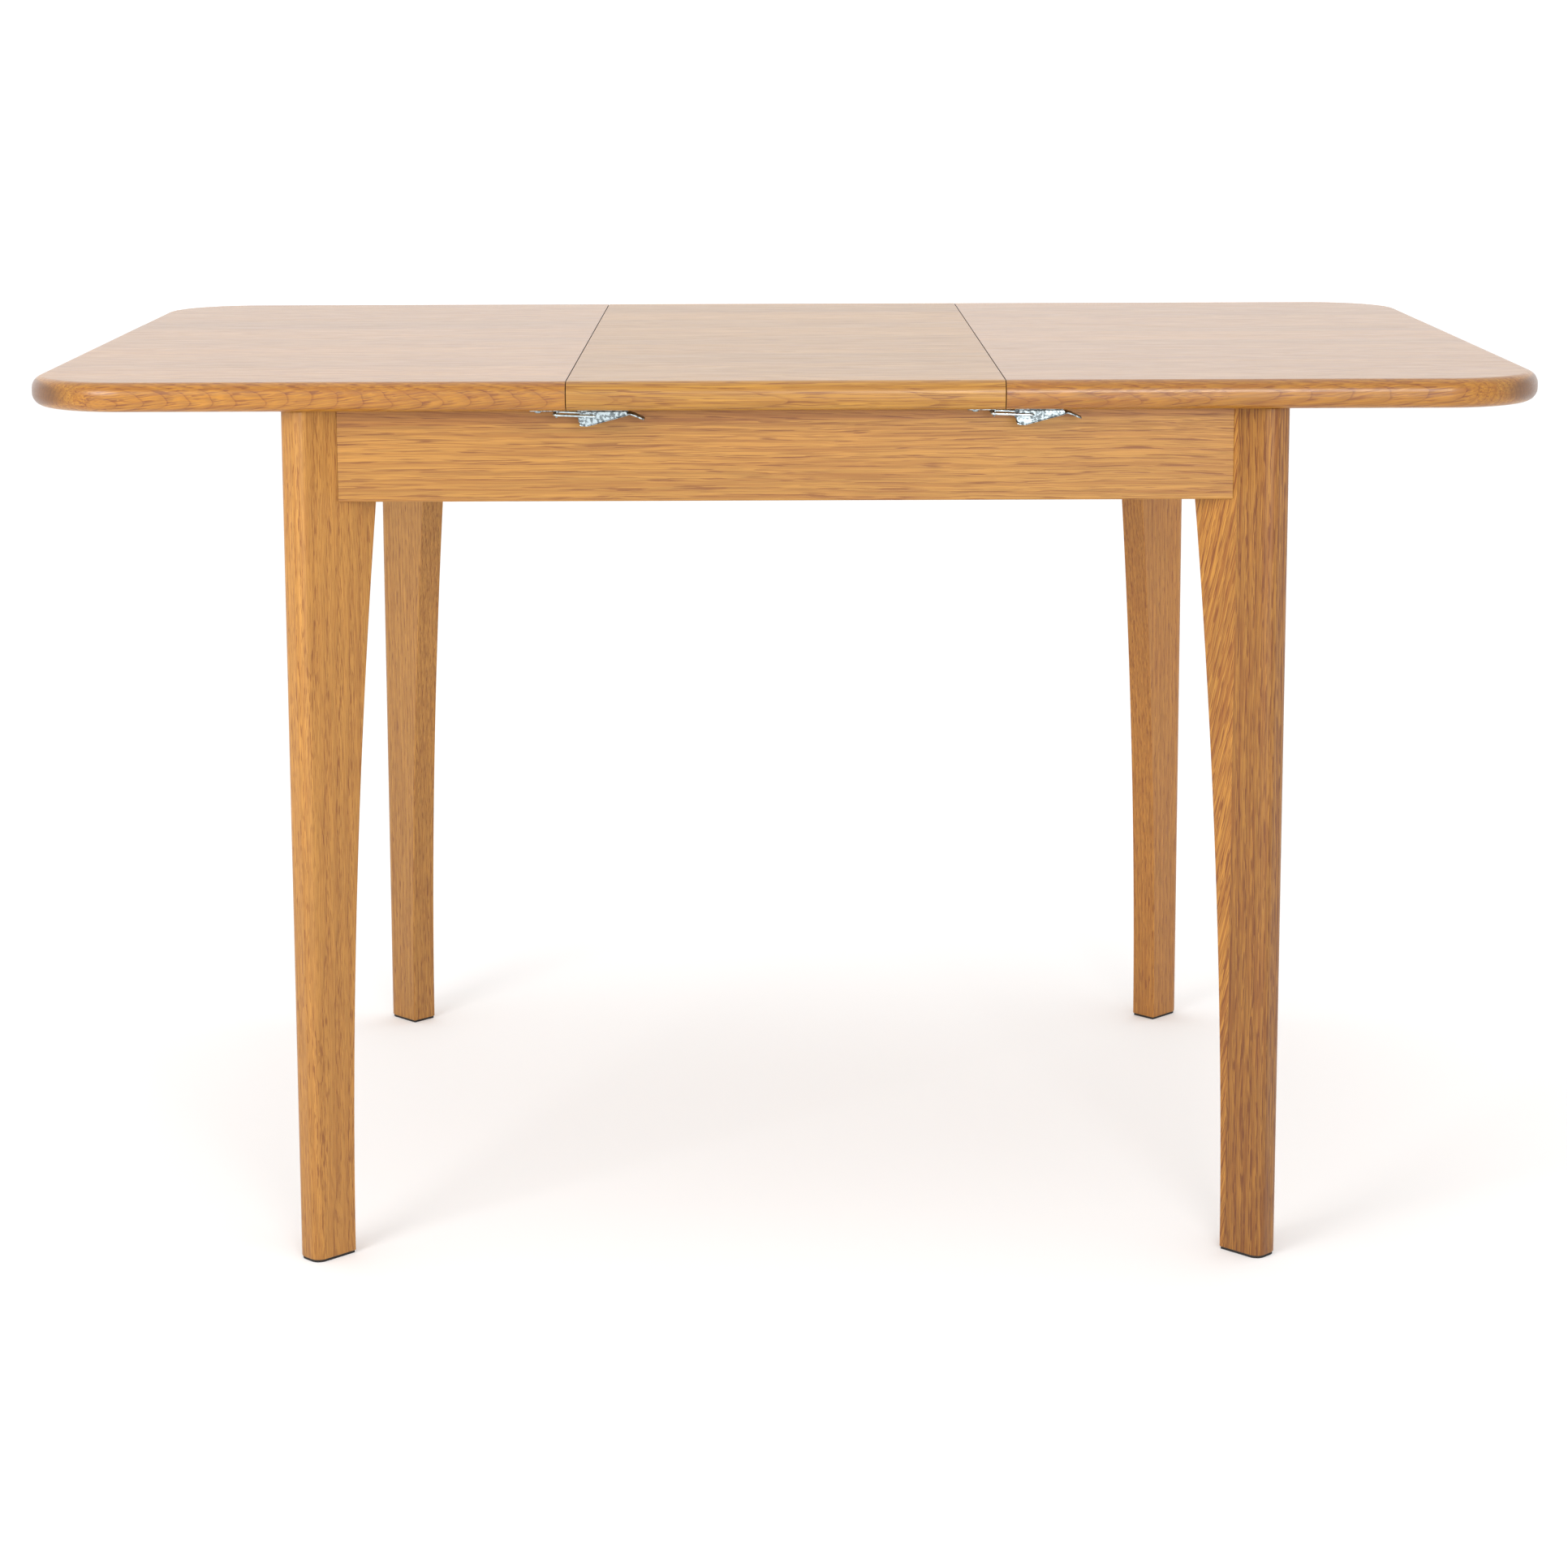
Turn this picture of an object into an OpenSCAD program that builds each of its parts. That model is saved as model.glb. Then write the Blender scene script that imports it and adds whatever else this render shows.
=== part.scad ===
// Extending dining table in oak: two sliding half tops, a loose centre leaf,
// a fixed frame on four diagonal board legs, and four draw latches.
// Origin on the floor under the middle of the table, +X along the table, +Z up.

/* [Top] */
// Height of the table top above the floor
table_h = 740; // [680:1:800]
// Width of the table across the leaf
table_w = 800; // [700:1:960]
// Length of each half top, from its joint to its outer end
half_len = 441; // [400:1:530]
// Length of the loose leaf
leaf_len = 352; // [300:1:360]
// Thickness of the top
top_t = 24; // [20:0.5:29]
// Rounding of the top's edges
edge_r = 10; // [4:0.5:10]
// Rounding of the top's corners in plan
corner_r = 85; // [60:1:102]

/* [Legs] */
// Thickness of the leg boards
leg_t = 27; // [22:0.5:33]
// Width of a leg board at the foot
leg_foot_w = 41; // [34:1:50]
// Width of a leg board behind the apron
leg_top_w = 80; // [70:1:90]
// Power of the curve that the inner edge follows
leg_curve = 1.9; // [1.2:0.1:3]
// Rounding of the two outer corners of a leg
leg_corner_r = 9; // [3:0.5:10]
// From the closed top's end in to the legs
leg_inset_x = 33; // [26:1:40]
// From the top's long edge in to the legs
leg_inset_y = 21; // [15:1:30]
// Gap between the legs and the sliding tops
leg_gap = 1; // [0.5:0.1:2]
// Thickness of the foot pads
pad_t = 2; // [1.5:0.1:3]
// From the leg's outline in to the foot pad
pad_inset = 1; // [0.5:0.1:2]

/* [Aprons] */
// Height of the aprons
apron_h = 77; // [66:1:90]
// Thickness of the aprons
apron_t = 18; // [15:1:22]
// Gap between the aprons and the sliding tops
apron_gap = 1; // [0.5:0.1:2]
// From the outermost line of the legs in to the apron's face
apron_setback = 24; // [20:1:30]
// Thickness of the biscuits that join aprons and legs
biscuit_t = 4; // [3:0.5:5]
// Height of the biscuits
biscuit_h = 44; // [30:1:50]
// How deep a biscuit sits in the leg and in the apron
biscuit_deep = 7; // [5:0.5:7.5]

/* [Corner blocks] */
// Thickness of the corner blocks
block_t = 28; // [20:1:36]
// Diameter of the hanger bolts
bolt_d = 8; // [6:0.5:10]
// How deep a hanger bolt sits in the leg
bolt_deep = 30; // [20:1:34]
// Distance between the two bolts of a leg
bolt_pitch = 20; // [17:1:24]

/* [Slides] */
// Width of the sliders
slider_w = 20; // [16:1:24]
// Height of the sliders
slider_h = 32; // [26:1:36]
// Gap between the sliders and the end aprons when the table is open
slider_end_gap = 2; // [1:0.5:6]
// Length of slider that reaches past the joint
slider_reach = 190; // [150:1:195]
// Width of the guide rails between their tongues
guide_w = 20; // [16:1:24]
// How far the tongues stand out of a guide rail
tongue_out = 6; // [4:0.5:7]
// Height of the tongues
tongue_h = 8; // [6:0.5:10]
// Running clearance of everything that slides
run_gap = 0.5; // [0.3:0.1:0.8]
// Side clearance between the legs and the nearest slider
slider_leg_gap = 3; // [2:0.5:6]
// Thickness of the cross rails
cross_t = 24; // [18:1:30]
// From the middle of the table to each cross rail
cross_x = 120; // [60:1:150]
// Length of the tenons on rails
tenon_l = 9; // [6:0.5:12]
// Clearance around tenons and biscuits
joint_gap = 0.15; // [0.1:0.05:0.3]

/* [Latches] */
// From the top's long edge in to the middle of a latch
latch_inset = 27; // [24:1:30]
// Width of the base and of the keeper
latch_w = 18.4; // [16:0.2:19]
// Thickness of the latch plates
plate_t = 1.5; // [1.2:0.1:1.6]
// Thickness of the lever's sheet
lever_t = 1.2; // [1:0.1:1.4]
// Diameter of the bail wire
wire_d = 2.4; // [2:0.1:2.6]
// Diameter of the lever's pivot pin
pin_d = 3; // [2.5:0.1:3.4]
// Clearance of the pivots
pivot_gap = 0.2; // [0.15:0.05:0.3]
// From the joint to the lever's pivot
pivot_x = 14; // [13:0.5:16]
// Depth of the lever's pivot below the top
pivot_drop = 7; // [6.8:0.1:7.6]
// Crank from the lever's pivot to the bail's pivot
crank = 9; // [7.5:0.5:9.5]
// Crank angle past dead centre when the latch is shut
crank_angle = 11.6; // [8:0.1:14]
// From the joint to the bail's cross wire
hook_x = 10.5; // [10:0.1:12]
// Depth of the bail's cross wire below the top
hook_drop = 3.8; // [3.6:0.1:4.2]
// Length of the lever past its pivot, without its thumb tab
lever_len = 34; // [30:1:38]
// Diameter of the latch screws
latch_screw_d = 3; // [2.5:0.1:3.5]
// Length of the latch screws in the wood
latch_screw_l = 12; // [8:1:14]

/* [Wood screws] */
// Diameter of the slider screws and rail screws
screw_d = 4; // [3.5:0.1:5]
// Diameter of their heads
screw_head_d = 8; // [7:0.1:9]
// How deep they go into the second piece
screw_bite = 14; // [10:1:16]

/* [Hidden] */
$fn = 48;

OAK = [0.80, 0.58, 0.33];
LIGHT_OAK = [0.86, 0.68, 0.42];
DARK_OAK = [0.52, 0.34, 0.18];
ZINC = [0.72, 0.75, 0.80];
PAD = [0.16, 0.14, 0.13];
eps = 0.01;

// Levels
under_z = table_h - top_t;
leg_top_z = under_z - leg_gap;
apron_top_z = under_z - apron_gap;
apron_low_z = apron_top_z - apron_h;
slider_low_z = under_z - slider_h;
rail_top_z = slider_low_z - run_gap;
tongue_z = under_z - slider_h / 2;

// Plan places, all for the front left corner and mirrored to the others
seam_x = leaf_len / 2;
leg_out_x = half_len - leg_inset_x;
leg_out_y = table_w / 2 - leg_inset_y;
round_loss = leg_corner_r * (sqrt(2) - 1);
leg_mid_x = leg_out_x + round_loss - leg_t / sqrt(8);
leg_mid_y = leg_out_y + round_loss - leg_t / sqrt(8);
apron_x = leg_out_x - apron_setback;
apron_y = leg_out_y - apron_setback;
apron_in_x = apron_x - apron_t;
apron_in_y = apron_y - apron_t;
biscuit_u = sqrt(2) * (leg_mid_y + leg_t / sqrt(8) - apron_y + apron_t / 2);
block_low_z = apron_low_z + 2;
block_h = rail_top_z - 1.5 - block_low_z;
bolt_mid_z = block_low_z + block_h / 2;
washer_d = bolt_d * 2;
washer_t = 1.5;
nut_h = bolt_d * 0.75;
bolt_tail = washer_t + nut_h + 3;

// Slides: an outer slider for the left half, a guide rail, an inner slider for the right half
leg_reach_y = leg_mid_y - (leg_top_w + leg_t / 2) / sqrt(2);
slider_under = apron_in_x - seam_x - slider_end_gap;
slider_out_y = leg_reach_y - slider_leg_gap;
guide_out_y = slider_out_y - slider_w - run_gap;
guide_mid_y = guide_out_y - guide_w / 2;
slider_in_y = guide_out_y - guide_w - run_gap;
screw_xs = [20, slider_under / 2, slider_under - 15];
screw_sink = slider_h - 14;
rail_screw_sink = 6;
screw_head_h = 3;

// Latches, in their own frame: x from the joint, z from the underside of the top
latch_y = table_w / 2 - latch_inset;
pivot = [pivot_x, -pivot_drop];
crank_pin = pivot + crank * [cos(crank_angle), sin(crank_angle)];
ear_t = 1.4;
ear_r = 3;
lever_in = latch_w / 2 + 0.8;
lever_out = lever_in + lever_t;
bail_y = lever_out + pivot_gap + wire_d / 2;
hook_bend = wire_d * 1.2;
end_bend = wire_d * 0.65;
keeper_len = 23.5;
keeper_x = 6.5;
keeper_screw_x = 23.5;
base_x = 8.5;
base_len = 37.5;
base_screw_x = 35;
latch_screw_y = 5;
latch_head_d = 5.6;
latch_head_t = 1.8;

function leg_w(z) = leg_foot_w + (leg_top_w - leg_foot_w) * pow(min(z / apron_low_z, 1), leg_curve);

// Section of the top from an inner line out to a rounded edge
module rim_profile(depth) {
    square([depth - edge_r, top_t]);
    translate([0, edge_r]) square([depth, top_t - 2 * edge_r]);
    for (z = [edge_r, top_t - edge_r])
        translate([depth - edge_r, z]) circle(edge_r);
}
// Section of the top across its whole width
module top_profile() {
    rim_profile(table_w / 2);
    mirror([1, 0]) rim_profile(table_w / 2);
}

// Half top: a straight stretch from the joint, then an end strip between two round corners
module half_top(side) {
    translate([side * seam_x, 0, under_z]) mirror([side < 0 ? 1 : 0, 0, 0]) {
        rotate([90, 0, 90]) linear_extrude(half_len - corner_r) top_profile();
        translate([half_len - corner_r, 0, 0]) {
            rotate([90, 0, 0]) linear_extrude(table_w - 2 * corner_r, center = true)
                rim_profile(corner_r);
            for (s = [-1, 1])
                translate([0, s * (table_w / 2 - corner_r), 0]) rotate([0, 0, s < 0 ? -90 : 0])
                    rotate_extrude(angle = 90) rim_profile(corner_r);
        }
    }
}

// Places a piece drawn for the front left corner at another one
module corner(sx, sy) {
    mirror([sx > 0 ? 1 : 0, 0, 0]) mirror([0, sy > 0 ? 1 : 0, 0]) children();
}
// The leg's own frame: x along the board, from its outer face in towards the table
module leg_frame() {
    translate([-leg_mid_x, -leg_mid_y, 0]) rotate([0, 0, 45]) children();
}

module leg_section(inset = 0) {
    r = leg_corner_r - inset;
    t = leg_t - 2 * inset;
    translate([inset, 0]) {
        translate([r, -t / 2]) square([leg_top_w + 1, t]);
        translate([0, -t / 2 + r]) square([r + 1, t - 2 * r]);
        for (s = [-1, 1]) translate([r, s * (t / 2 - r)]) circle(r);
    }
}

// Slots of the two biscuits, on the leg's two broad faces
module biscuits(gap = 0) {
    for (s = [-1, 1])
        translate([biscuit_u, s * leg_t / 2, apron_low_z + apron_h / 2])
            cube([biscuit_t + 2 * gap, 2 * (biscuit_deep + gap), biscuit_h + 2 * gap], center = true);
}

module bolt_rods(d, from_u, to_u) {
    for (s = [-1, 1])
        translate([from_u, 0, bolt_mid_z + s * bolt_pitch / 2]) rotate([0, 90, 0])
            cylinder(h = to_u - from_u, d = d);
}

module leg(sx, sy) {
    steps = 18;
    inner = [for (i = [0 : steps]) let (z = pad_t + (apron_low_z - pad_t) * i / steps) [leg_w(z), z]];
    color(OAK) corner(sx, sy) leg_frame()
        difference() {
            intersection() {
                rotate([90, 0, 0]) linear_extrude(leg_t, center = true)
                    polygon(concat([[0, pad_t]], inner, [[leg_top_w, leg_top_z], [0, leg_top_z]]));
                linear_extrude(table_h) leg_section();
            }
            biscuits(joint_gap);
            bolt_rods(bolt_d, leg_top_w - bolt_deep, leg_top_w + 1);
        }
}

module foot_pads() {
    color(PAD)
        for (sx = [-1, 1], sy = [-1, 1]) corner(sx, sy) leg_frame()
            intersection() {
                linear_extrude(pad_t) leg_section(pad_inset);
                translate([0, -leg_t, 0]) cube([leg_foot_w - pad_inset, 2 * leg_t, pad_t]);
            }
}

// Everything that an apron makes room for: the legs, their biscuits and the cross rails' tenons
module apron_cuts() {
    for (sx = [-1, 1], sy = [-1, 1]) corner(sx, sy) leg_frame() {
        translate([-leg_t, -leg_t / 2, 0]) cube([leg_top_w + leg_t, leg_t, table_h]);
        biscuits(joint_gap);
    }
    for (s = [-1, 1]) cross_tenons(s, joint_gap);
    for (s = [-1, 1]) guide_tenons(s, joint_gap);
}

module long_apron(side) {
    color(LIGHT_OAK)
        difference() {
            translate([0, side * (apron_y - apron_t / 2), apron_low_z + apron_h / 2])
                cube([2 * apron_x, apron_t, apron_h], center = true);
            apron_cuts();
            outer_ends(side);
        }
}

// Clears what is left of a long apron beyond the legs
module outer_ends(side) {
    for (s = [-1, 1])
        corner(s, side) leg_frame()
            translate([-leg_t, leg_t / 2 - eps, 0]) cube([3 * leg_top_w, 3 * leg_top_w, table_h]);
}

module end_apron(side) {
    color(LIGHT_OAK)
        difference() {
            translate([side * (apron_x - apron_t / 2), 0, apron_low_z + apron_h / 2])
                cube([apron_t, 2 * apron_y, apron_h], center = true);
            apron_cuts();
            for (s = [-1, 1])
                corner(side, s) leg_frame()
                    translate([-leg_t, -leg_t / 2 + eps - 3 * leg_top_w, 0])
                        cube([3 * leg_top_w, 3 * leg_top_w, table_h]);
        }
}

module joint_biscuits() {
    color(LIGHT_OAK)
        for (sx = [-1, 1], sy = [-1, 1]) corner(sx, sy) leg_frame() biscuits();
}

module corner_block(sx, sy) {
    color(OAK)
        corner(sx, sy)
            difference() {
                translate([0, 0, block_low_z])
                    linear_extrude(block_h)
                        intersection() {
                            leg_frame() translate([leg_top_w, -3 * block_t]) square([block_t, 6 * block_t]);
                            translate([-apron_in_x, -apron_in_y]) square(6 * block_t);
                        }
                leg_frame() bolt_rods(bolt_d + 2 * pivot_gap, leg_top_w - 1, leg_top_w + block_t + 1);
            }
}

module hanger_bolts() {
    color(ZINC)
        for (sx = [-1, 1], sy = [-1, 1]) corner(sx, sy) leg_frame()
            bolt_rods(bolt_d, leg_top_w - bolt_deep, leg_top_w + block_t + bolt_tail);
}

module bolt_nuts() {
    color(ZINC)
        for (sx = [-1, 1], sy = [-1, 1]) corner(sx, sy) leg_frame()
            for (s = [-1, 1])
                translate([leg_top_w + block_t, 0, bolt_mid_z + s * bolt_pitch / 2]) rotate([0, 90, 0])
                    difference() {
                        union() {
                            cylinder(h = washer_t, d = washer_d);
                            translate([0, 0, washer_t]) cylinder(h = nut_h, d = bolt_d * 1.85, $fn = 6);
                        }
                        translate([0, 0, -1]) cylinder(h = washer_t + nut_h + 2, d = bolt_d);
                    }
}

// Guide rail: a bar with a tongue on each side and a short tenon on each end
module guide_tenons(side, gap = 0) {
    translate([0, side * guide_mid_y, rail_top_z + slider_h / 2 - run_gap])
        cube([2 * (apron_in_x + tenon_l + gap), guide_w / 2 + 2 * gap, slider_h / 3 + 2 * gap],
             center = true);
}

module guide_rail(side) {
    color(DARK_OAK)
        difference() {
            union() {
                translate([0, side * guide_mid_y, rail_top_z + slider_h / 2])
                    cube([2 * apron_in_x, guide_w, slider_h], center = true);
                translate([0, side * guide_mid_y, tongue_z])
                    cube([2 * apron_in_x, guide_w + 2 * tongue_out, tongue_h], center = true);
                guide_tenons(side);
            }
            rail_screw_holes(screw_d + 2 * pivot_gap);
            rail_screw_heads(screw_head_d + 2 * pivot_gap, rail_screw_sink + 1);
        }
}

// Cross rail, with a tenon at each end that enters the long aprons. Both tenons are one bar through the rail
module cross_tenons(side, gap = 0) {
    rail_h = rail_top_z - block_low_z;
    tenon_h = rail_h * 0.6;
    translate([side * cross_x, 0, block_low_z + rail_h / 2])
        cube([cross_t / 2 + 2 * gap, 2 * (apron_in_y + tenon_l + gap), tenon_h + 2 * gap], center = true);
}

module cross_rail(side) {
    rail_h = rail_top_z - block_low_z;
    color(OAK)
        difference() {
            union() {
                translate([side * cross_x, 0, block_low_z + rail_h / 2])
                    cube([cross_t, 2 * apron_in_y, rail_h], center = true);
                cross_tenons(side);
            }
            rail_screw_holes(screw_d);
        }
}

module rail_screw_places() {
    for (sx = [-1, 1], sy = [-1, 1]) translate([sx * cross_x, sy * guide_mid_y, 0]) children();
}
module rail_screw_holes(d) {
    rail_screw_places() translate([0, 0, rail_top_z - screw_bite])
        cylinder(h = slider_h + screw_bite - rail_screw_sink, d = d);
}
module rail_screw_heads(d, h) {
    rail_screw_places() translate([0, 0, rail_top_z + slider_h - rail_screw_sink]) cylinder(h = h, d = d);
}
module rail_screws() {
    color(ZINC) {
        rail_screw_holes(screw_d);
        rail_screw_heads(screw_head_d, screw_head_h);
    }
}

// Slider of one half top: side -1 is the left half, on the outer side of the guide rail
function slider_mid_y(side) = side < 0 ? slider_out_y - slider_w / 2 : slider_in_y - slider_w / 2;

module slider(side, sy) {
    groove_y = side < 0 ? slider_out_y - slider_w : slider_in_y;
    mid_x = side * (seam_x + (slider_under - slider_reach) / 2);
    color(DARK_OAK)
        difference() {
            translate([mid_x, sy * slider_mid_y(side), under_z - slider_h / 2])
                cube([slider_under + slider_reach, slider_w, slider_h], center = true);
            translate([mid_x, sy * groove_y, tongue_z])
                cube([2 * (slider_under + slider_reach), 2 * tongue_out, tongue_h + 2 * run_gap],
                     center = true);
            slider_screw_places(side) {
                translate([0, 0, -slider_h - 1]) cylinder(h = slider_h + 2, d = screw_d);
                translate([0, 0, -slider_h - 1])
                    cylinder(h = screw_sink + 1, d = screw_head_d + 2 * pivot_gap);
            }
        }
}

module slider_screw_places(side) {
    for (x = screw_xs, sy = [-1, 1])
        translate([side * (seam_x + x), sy * slider_mid_y(side), under_z]) children();
}
module slider_screws(side) {
    color(ZINC)
        slider_screw_places(side) {
            translate([0, 0, screw_sink - slider_h])
                cylinder(h = slider_h - screw_sink + screw_bite, d = screw_d);
            translate([0, 0, screw_sink - slider_h - screw_head_h])
                cylinder(h = screw_head_h, d = screw_head_d);
        }
}

// Latch places: joint -1 or 1, row -1 in front or 1 at the rear
module latch_at(joint, row) {
    translate([joint * seam_x, row * latch_y, under_z]) children();
}
module latch_screw_places(x) {
    for (s = [-1, 1]) translate([x, s * latch_screw_y, 0]) children();
}
module latch_screw_holes(x, up) {
    latch_screw_places(x) translate([0, 0, -plate_t - 1]) cylinder(h = plate_t + 1 + up, d = latch_screw_d);
}
module latch_screws(x) {
    latch_screw_places(x) {
        translate([0, 0, -plate_t]) cylinder(h = plate_t + latch_screw_l, d = latch_screw_d);
        translate([0, 0, -plate_t - latch_head_t]) cylinder(h = latch_head_t, d = latch_head_d);
    }
}

// A flat shape drawn in x and z, given a width across the latch
module across(from_y, to_y) {
    translate([0, to_y, 0]) rotate([90, 0, 0]) linear_extrude(to_y - from_y) children();
}

module latch_keeper(joint, row) {
    lip = 7;
    lean = 1.4;
    color(ZINC) latch_at(joint, row)
        difference() {
            union() {
                across(-latch_w / 2, latch_w / 2)
                    translate([-keeper_x - keeper_len, -plate_t]) square([keeper_len, plate_t]);
                across(-latch_w / 2, latch_w / 2)
                    translate([-keeper_x, 0])
                        polygon([[0, -eps], [-plate_t, -eps], [-plate_t, -plate_t], [-plate_t - lean, -lip],
                                 [-lean, -lip - 0.3], [0, -plate_t]]);
            }
            latch_screw_holes(-keeper_screw_x, 1);
        }
}

module latch_base(joint, row) {
    color(ZINC) latch_at(joint, row)
        difference() {
            union() {
                translate([base_x, -latch_w / 2, -plate_t]) cube([base_len, latch_w, plate_t]);
                for (s = [-1, 1])
                    across(s * (latch_w - ear_t) / 2 - ear_t / 2, s * (latch_w - ear_t) / 2 + ear_t / 2) {
                        translate(pivot) circle(ear_r);
                        translate([pivot_x - ear_r, -pivot_drop])
                            square([2 * ear_r, pivot_drop - plate_t + eps]);
                    }
            }
            latch_screw_holes(base_screw_x, 1);
            across(-latch_w, latch_w) translate(pivot) circle(d = pin_d);
        }
}

module latch_pins(joint) {
    color(ZINC)
        for (row = [-1, 1]) latch_at(joint, row)
            across(-lever_out, lever_out) translate(pivot) circle(d = pin_d);
}

module latch_lever(joint, row) {
    heel = 4.4;
    back = 5.4;
    floor_drop = 6.5;
    color(ZINC) latch_at(joint, row)
        difference() {
            translate([pivot[0], 0, pivot[1]]) {
                for (s = [-1, 1], mid = s * (lever_in + lever_t / 2))
                    across(mid - lever_t / 2, mid + lever_t / 2)
                        polygon([[-heel, -floor_drop + 2.5], [-2.5, -floor_drop + 0.7], [3, -floor_drop],
                                 [lever_len, 2], [lever_len, back], [2, back], [-2, back - 0.6],
                                 [-heel + 0.6, back - 1.8], [-heel - 0.4, 0.5]]);
                across(-lever_in - eps, lever_in + eps)
                    polygon([[-3.2, -floor_drop + 1.4], [-2.5, -floor_drop + 0.7], [3, -floor_drop],
                             [lever_len, 2], [lever_len + 2, 3.2], [lever_len + 13.5, -2.2],
                             [lever_len + 14.5, -1.2], [lever_len + 2, 4.7], [lever_len - 1, 3.1],
                             [3, -floor_drop + lever_t],
                             [-2, -floor_drop + lever_t + 0.7]]);
            }
            across(-latch_w, latch_w) translate(pivot) circle(d = pin_d + 2 * pivot_gap);
            across(-latch_w, latch_w) translate(crank_pin) circle(d = wire_d + 2 * pivot_gap);
        }
}

// A quarter bend of the bail's wire, from the end of its cross wire to the start of a leg
module wire_bend(bend) {
    rotate_extrude(angle = 90) translate([bend, 0]) circle(d = wire_d);
}

// Bail: one wire bent round the keeper, with its ends turned in through the lever
module latch_bail(joint, row) {
    hook = [-hook_x, -hook_drop];
    run = crank_pin - hook;
    length = norm(run);
    pitch = atan2(run[1], run[0]);
    color(ZINC) latch_at(joint, row)
        translate([hook[0], 0, hook[1]]) rotate([0, -pitch, 0]) {
            rotate([90, 0, 0]) cylinder(h = 2 * (bail_y - hook_bend), d = wire_d, center = true);
            for (s = [-1, 1]) mirror([0, s < 0 ? 1 : 0, 0]) {
                translate([hook_bend, bail_y - hook_bend, 0]) rotate([0, 0, 90]) wire_bend(hook_bend);
                translate([hook_bend, bail_y, 0]) rotate([0, 90, 0])
                    cylinder(h = length - hook_bend - end_bend, d = wire_d);
                translate([length - end_bend, bail_y - end_bend, 0]) wire_bend(end_bend);
                translate([length, lever_in - 0.3, 0]) rotate([-90, 0, 0])
                    cylinder(h = bail_y - end_bend - lever_in + 0.3, d = wire_d);
            }
        }
}

module left_top_panel() {
    color(OAK)
        difference() {
            half_top(-1);
            slider_screw_places(-1) translate([0, 0, -1]) cylinder(h = screw_bite + 1, d = screw_d);
            for (row = [-1, 1]) latch_at(-1, row) latch_screw_holes(-keeper_screw_x, latch_screw_l);
        }
}
module right_top_panel() {
    color(OAK)
        difference() {
            half_top(1);
            slider_screw_places(1) translate([0, 0, -1]) cylinder(h = screw_bite + 1, d = screw_d);
            for (row = [-1, 1]) latch_at(1, row) latch_screw_holes(base_screw_x, latch_screw_l);
        }
}
module leaf_panel() {
    color(LIGHT_OAK)
        difference() {
            translate([-seam_x, 0, under_z]) rotate([90, 0, 90]) linear_extrude(leaf_len) top_profile();
            for (row = [-1, 1]) {
                latch_at(-1, row) latch_screw_holes(base_screw_x, latch_screw_l);
                latch_at(1, row) latch_screw_holes(-keeper_screw_x, latch_screw_l);
            }
        }
}
module left_keeper_screws() {
    color(ZINC) for (row = [-1, 1]) latch_at(-1, row) latch_screws(-keeper_screw_x);
}
module leaf_latch_screws() {
    color(ZINC)
        for (row = [-1, 1]) {
            latch_at(-1, row) latch_screws(base_screw_x);
            latch_at(1, row) latch_screws(-keeper_screw_x);
        }
}
module right_latch_screws() {
    color(ZINC) for (row = [-1, 1]) latch_at(1, row) latch_screws(base_screw_x);
}

leg(-1, -1);  // front_left_leg
leg(1, -1);  // front_right_leg
leg(-1, 1);  // rear_left_leg
leg(1, 1);  // rear_right_leg
foot_pads();
long_apron(-1);  // front_apron
long_apron(1);  // rear_apron
end_apron(-1);  // left_apron
end_apron(1);  // right_apron
joint_biscuits();
corner_block(-1, -1);  // front_left_block
corner_block(1, -1);  // front_right_block
corner_block(-1, 1);  // rear_left_block
corner_block(1, 1);  // rear_right_block
hanger_bolts();
bolt_nuts();
guide_rail(-1);  // front_guide_rail
guide_rail(1);  // rear_guide_rail
cross_rail(-1);  // left_cross_rail
cross_rail(1);  // right_cross_rail
rail_screws();
left_top_panel();
slider(-1, -1);  // left_front_slider
slider(-1, 1);  // left_rear_slider
slider_screws(-1);  // left_slider_screws
latch_keeper(-1, -1);  // left_front_keeper
latch_keeper(-1, 1);  // left_rear_keeper
left_keeper_screws();
leaf_panel();
latch_keeper(1, -1);  // leaf_front_keeper
latch_keeper(1, 1);  // leaf_rear_keeper
latch_base(-1, -1);  // leaf_front_base
latch_base(-1, 1);  // leaf_rear_base
latch_pins(-1);  // leaf_latch_pins
leaf_latch_screws();
right_top_panel();
slider(1, -1);  // right_front_slider
slider(1, 1);  // right_rear_slider
slider_screws(1);  // right_slider_screws
latch_base(1, -1);  // right_front_base
latch_base(1, 1);  // right_rear_base
latch_pins(1);  // right_latch_pins
right_latch_screws();
latch_lever(-1, -1);  // left_front_lever
latch_lever(-1, 1);  // left_rear_lever
latch_lever(1, -1);  // right_front_lever
latch_lever(1, 1);  // right_rear_lever
latch_bail(-1, -1);  // left_front_bail
latch_bail(-1, 1);  // left_rear_bail
latch_bail(1, -1);  // right_front_bail
latch_bail(1, 1);  // right_rear_bail
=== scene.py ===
"""Surfaces, materials, light and camera for an extending oak dining table with draw latches."""
import math

import bpy
import numpy as np
from bpy.props import FloatProperty, FloatVectorProperty, PointerProperty
from mathutils import Matrix, Vector


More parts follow.
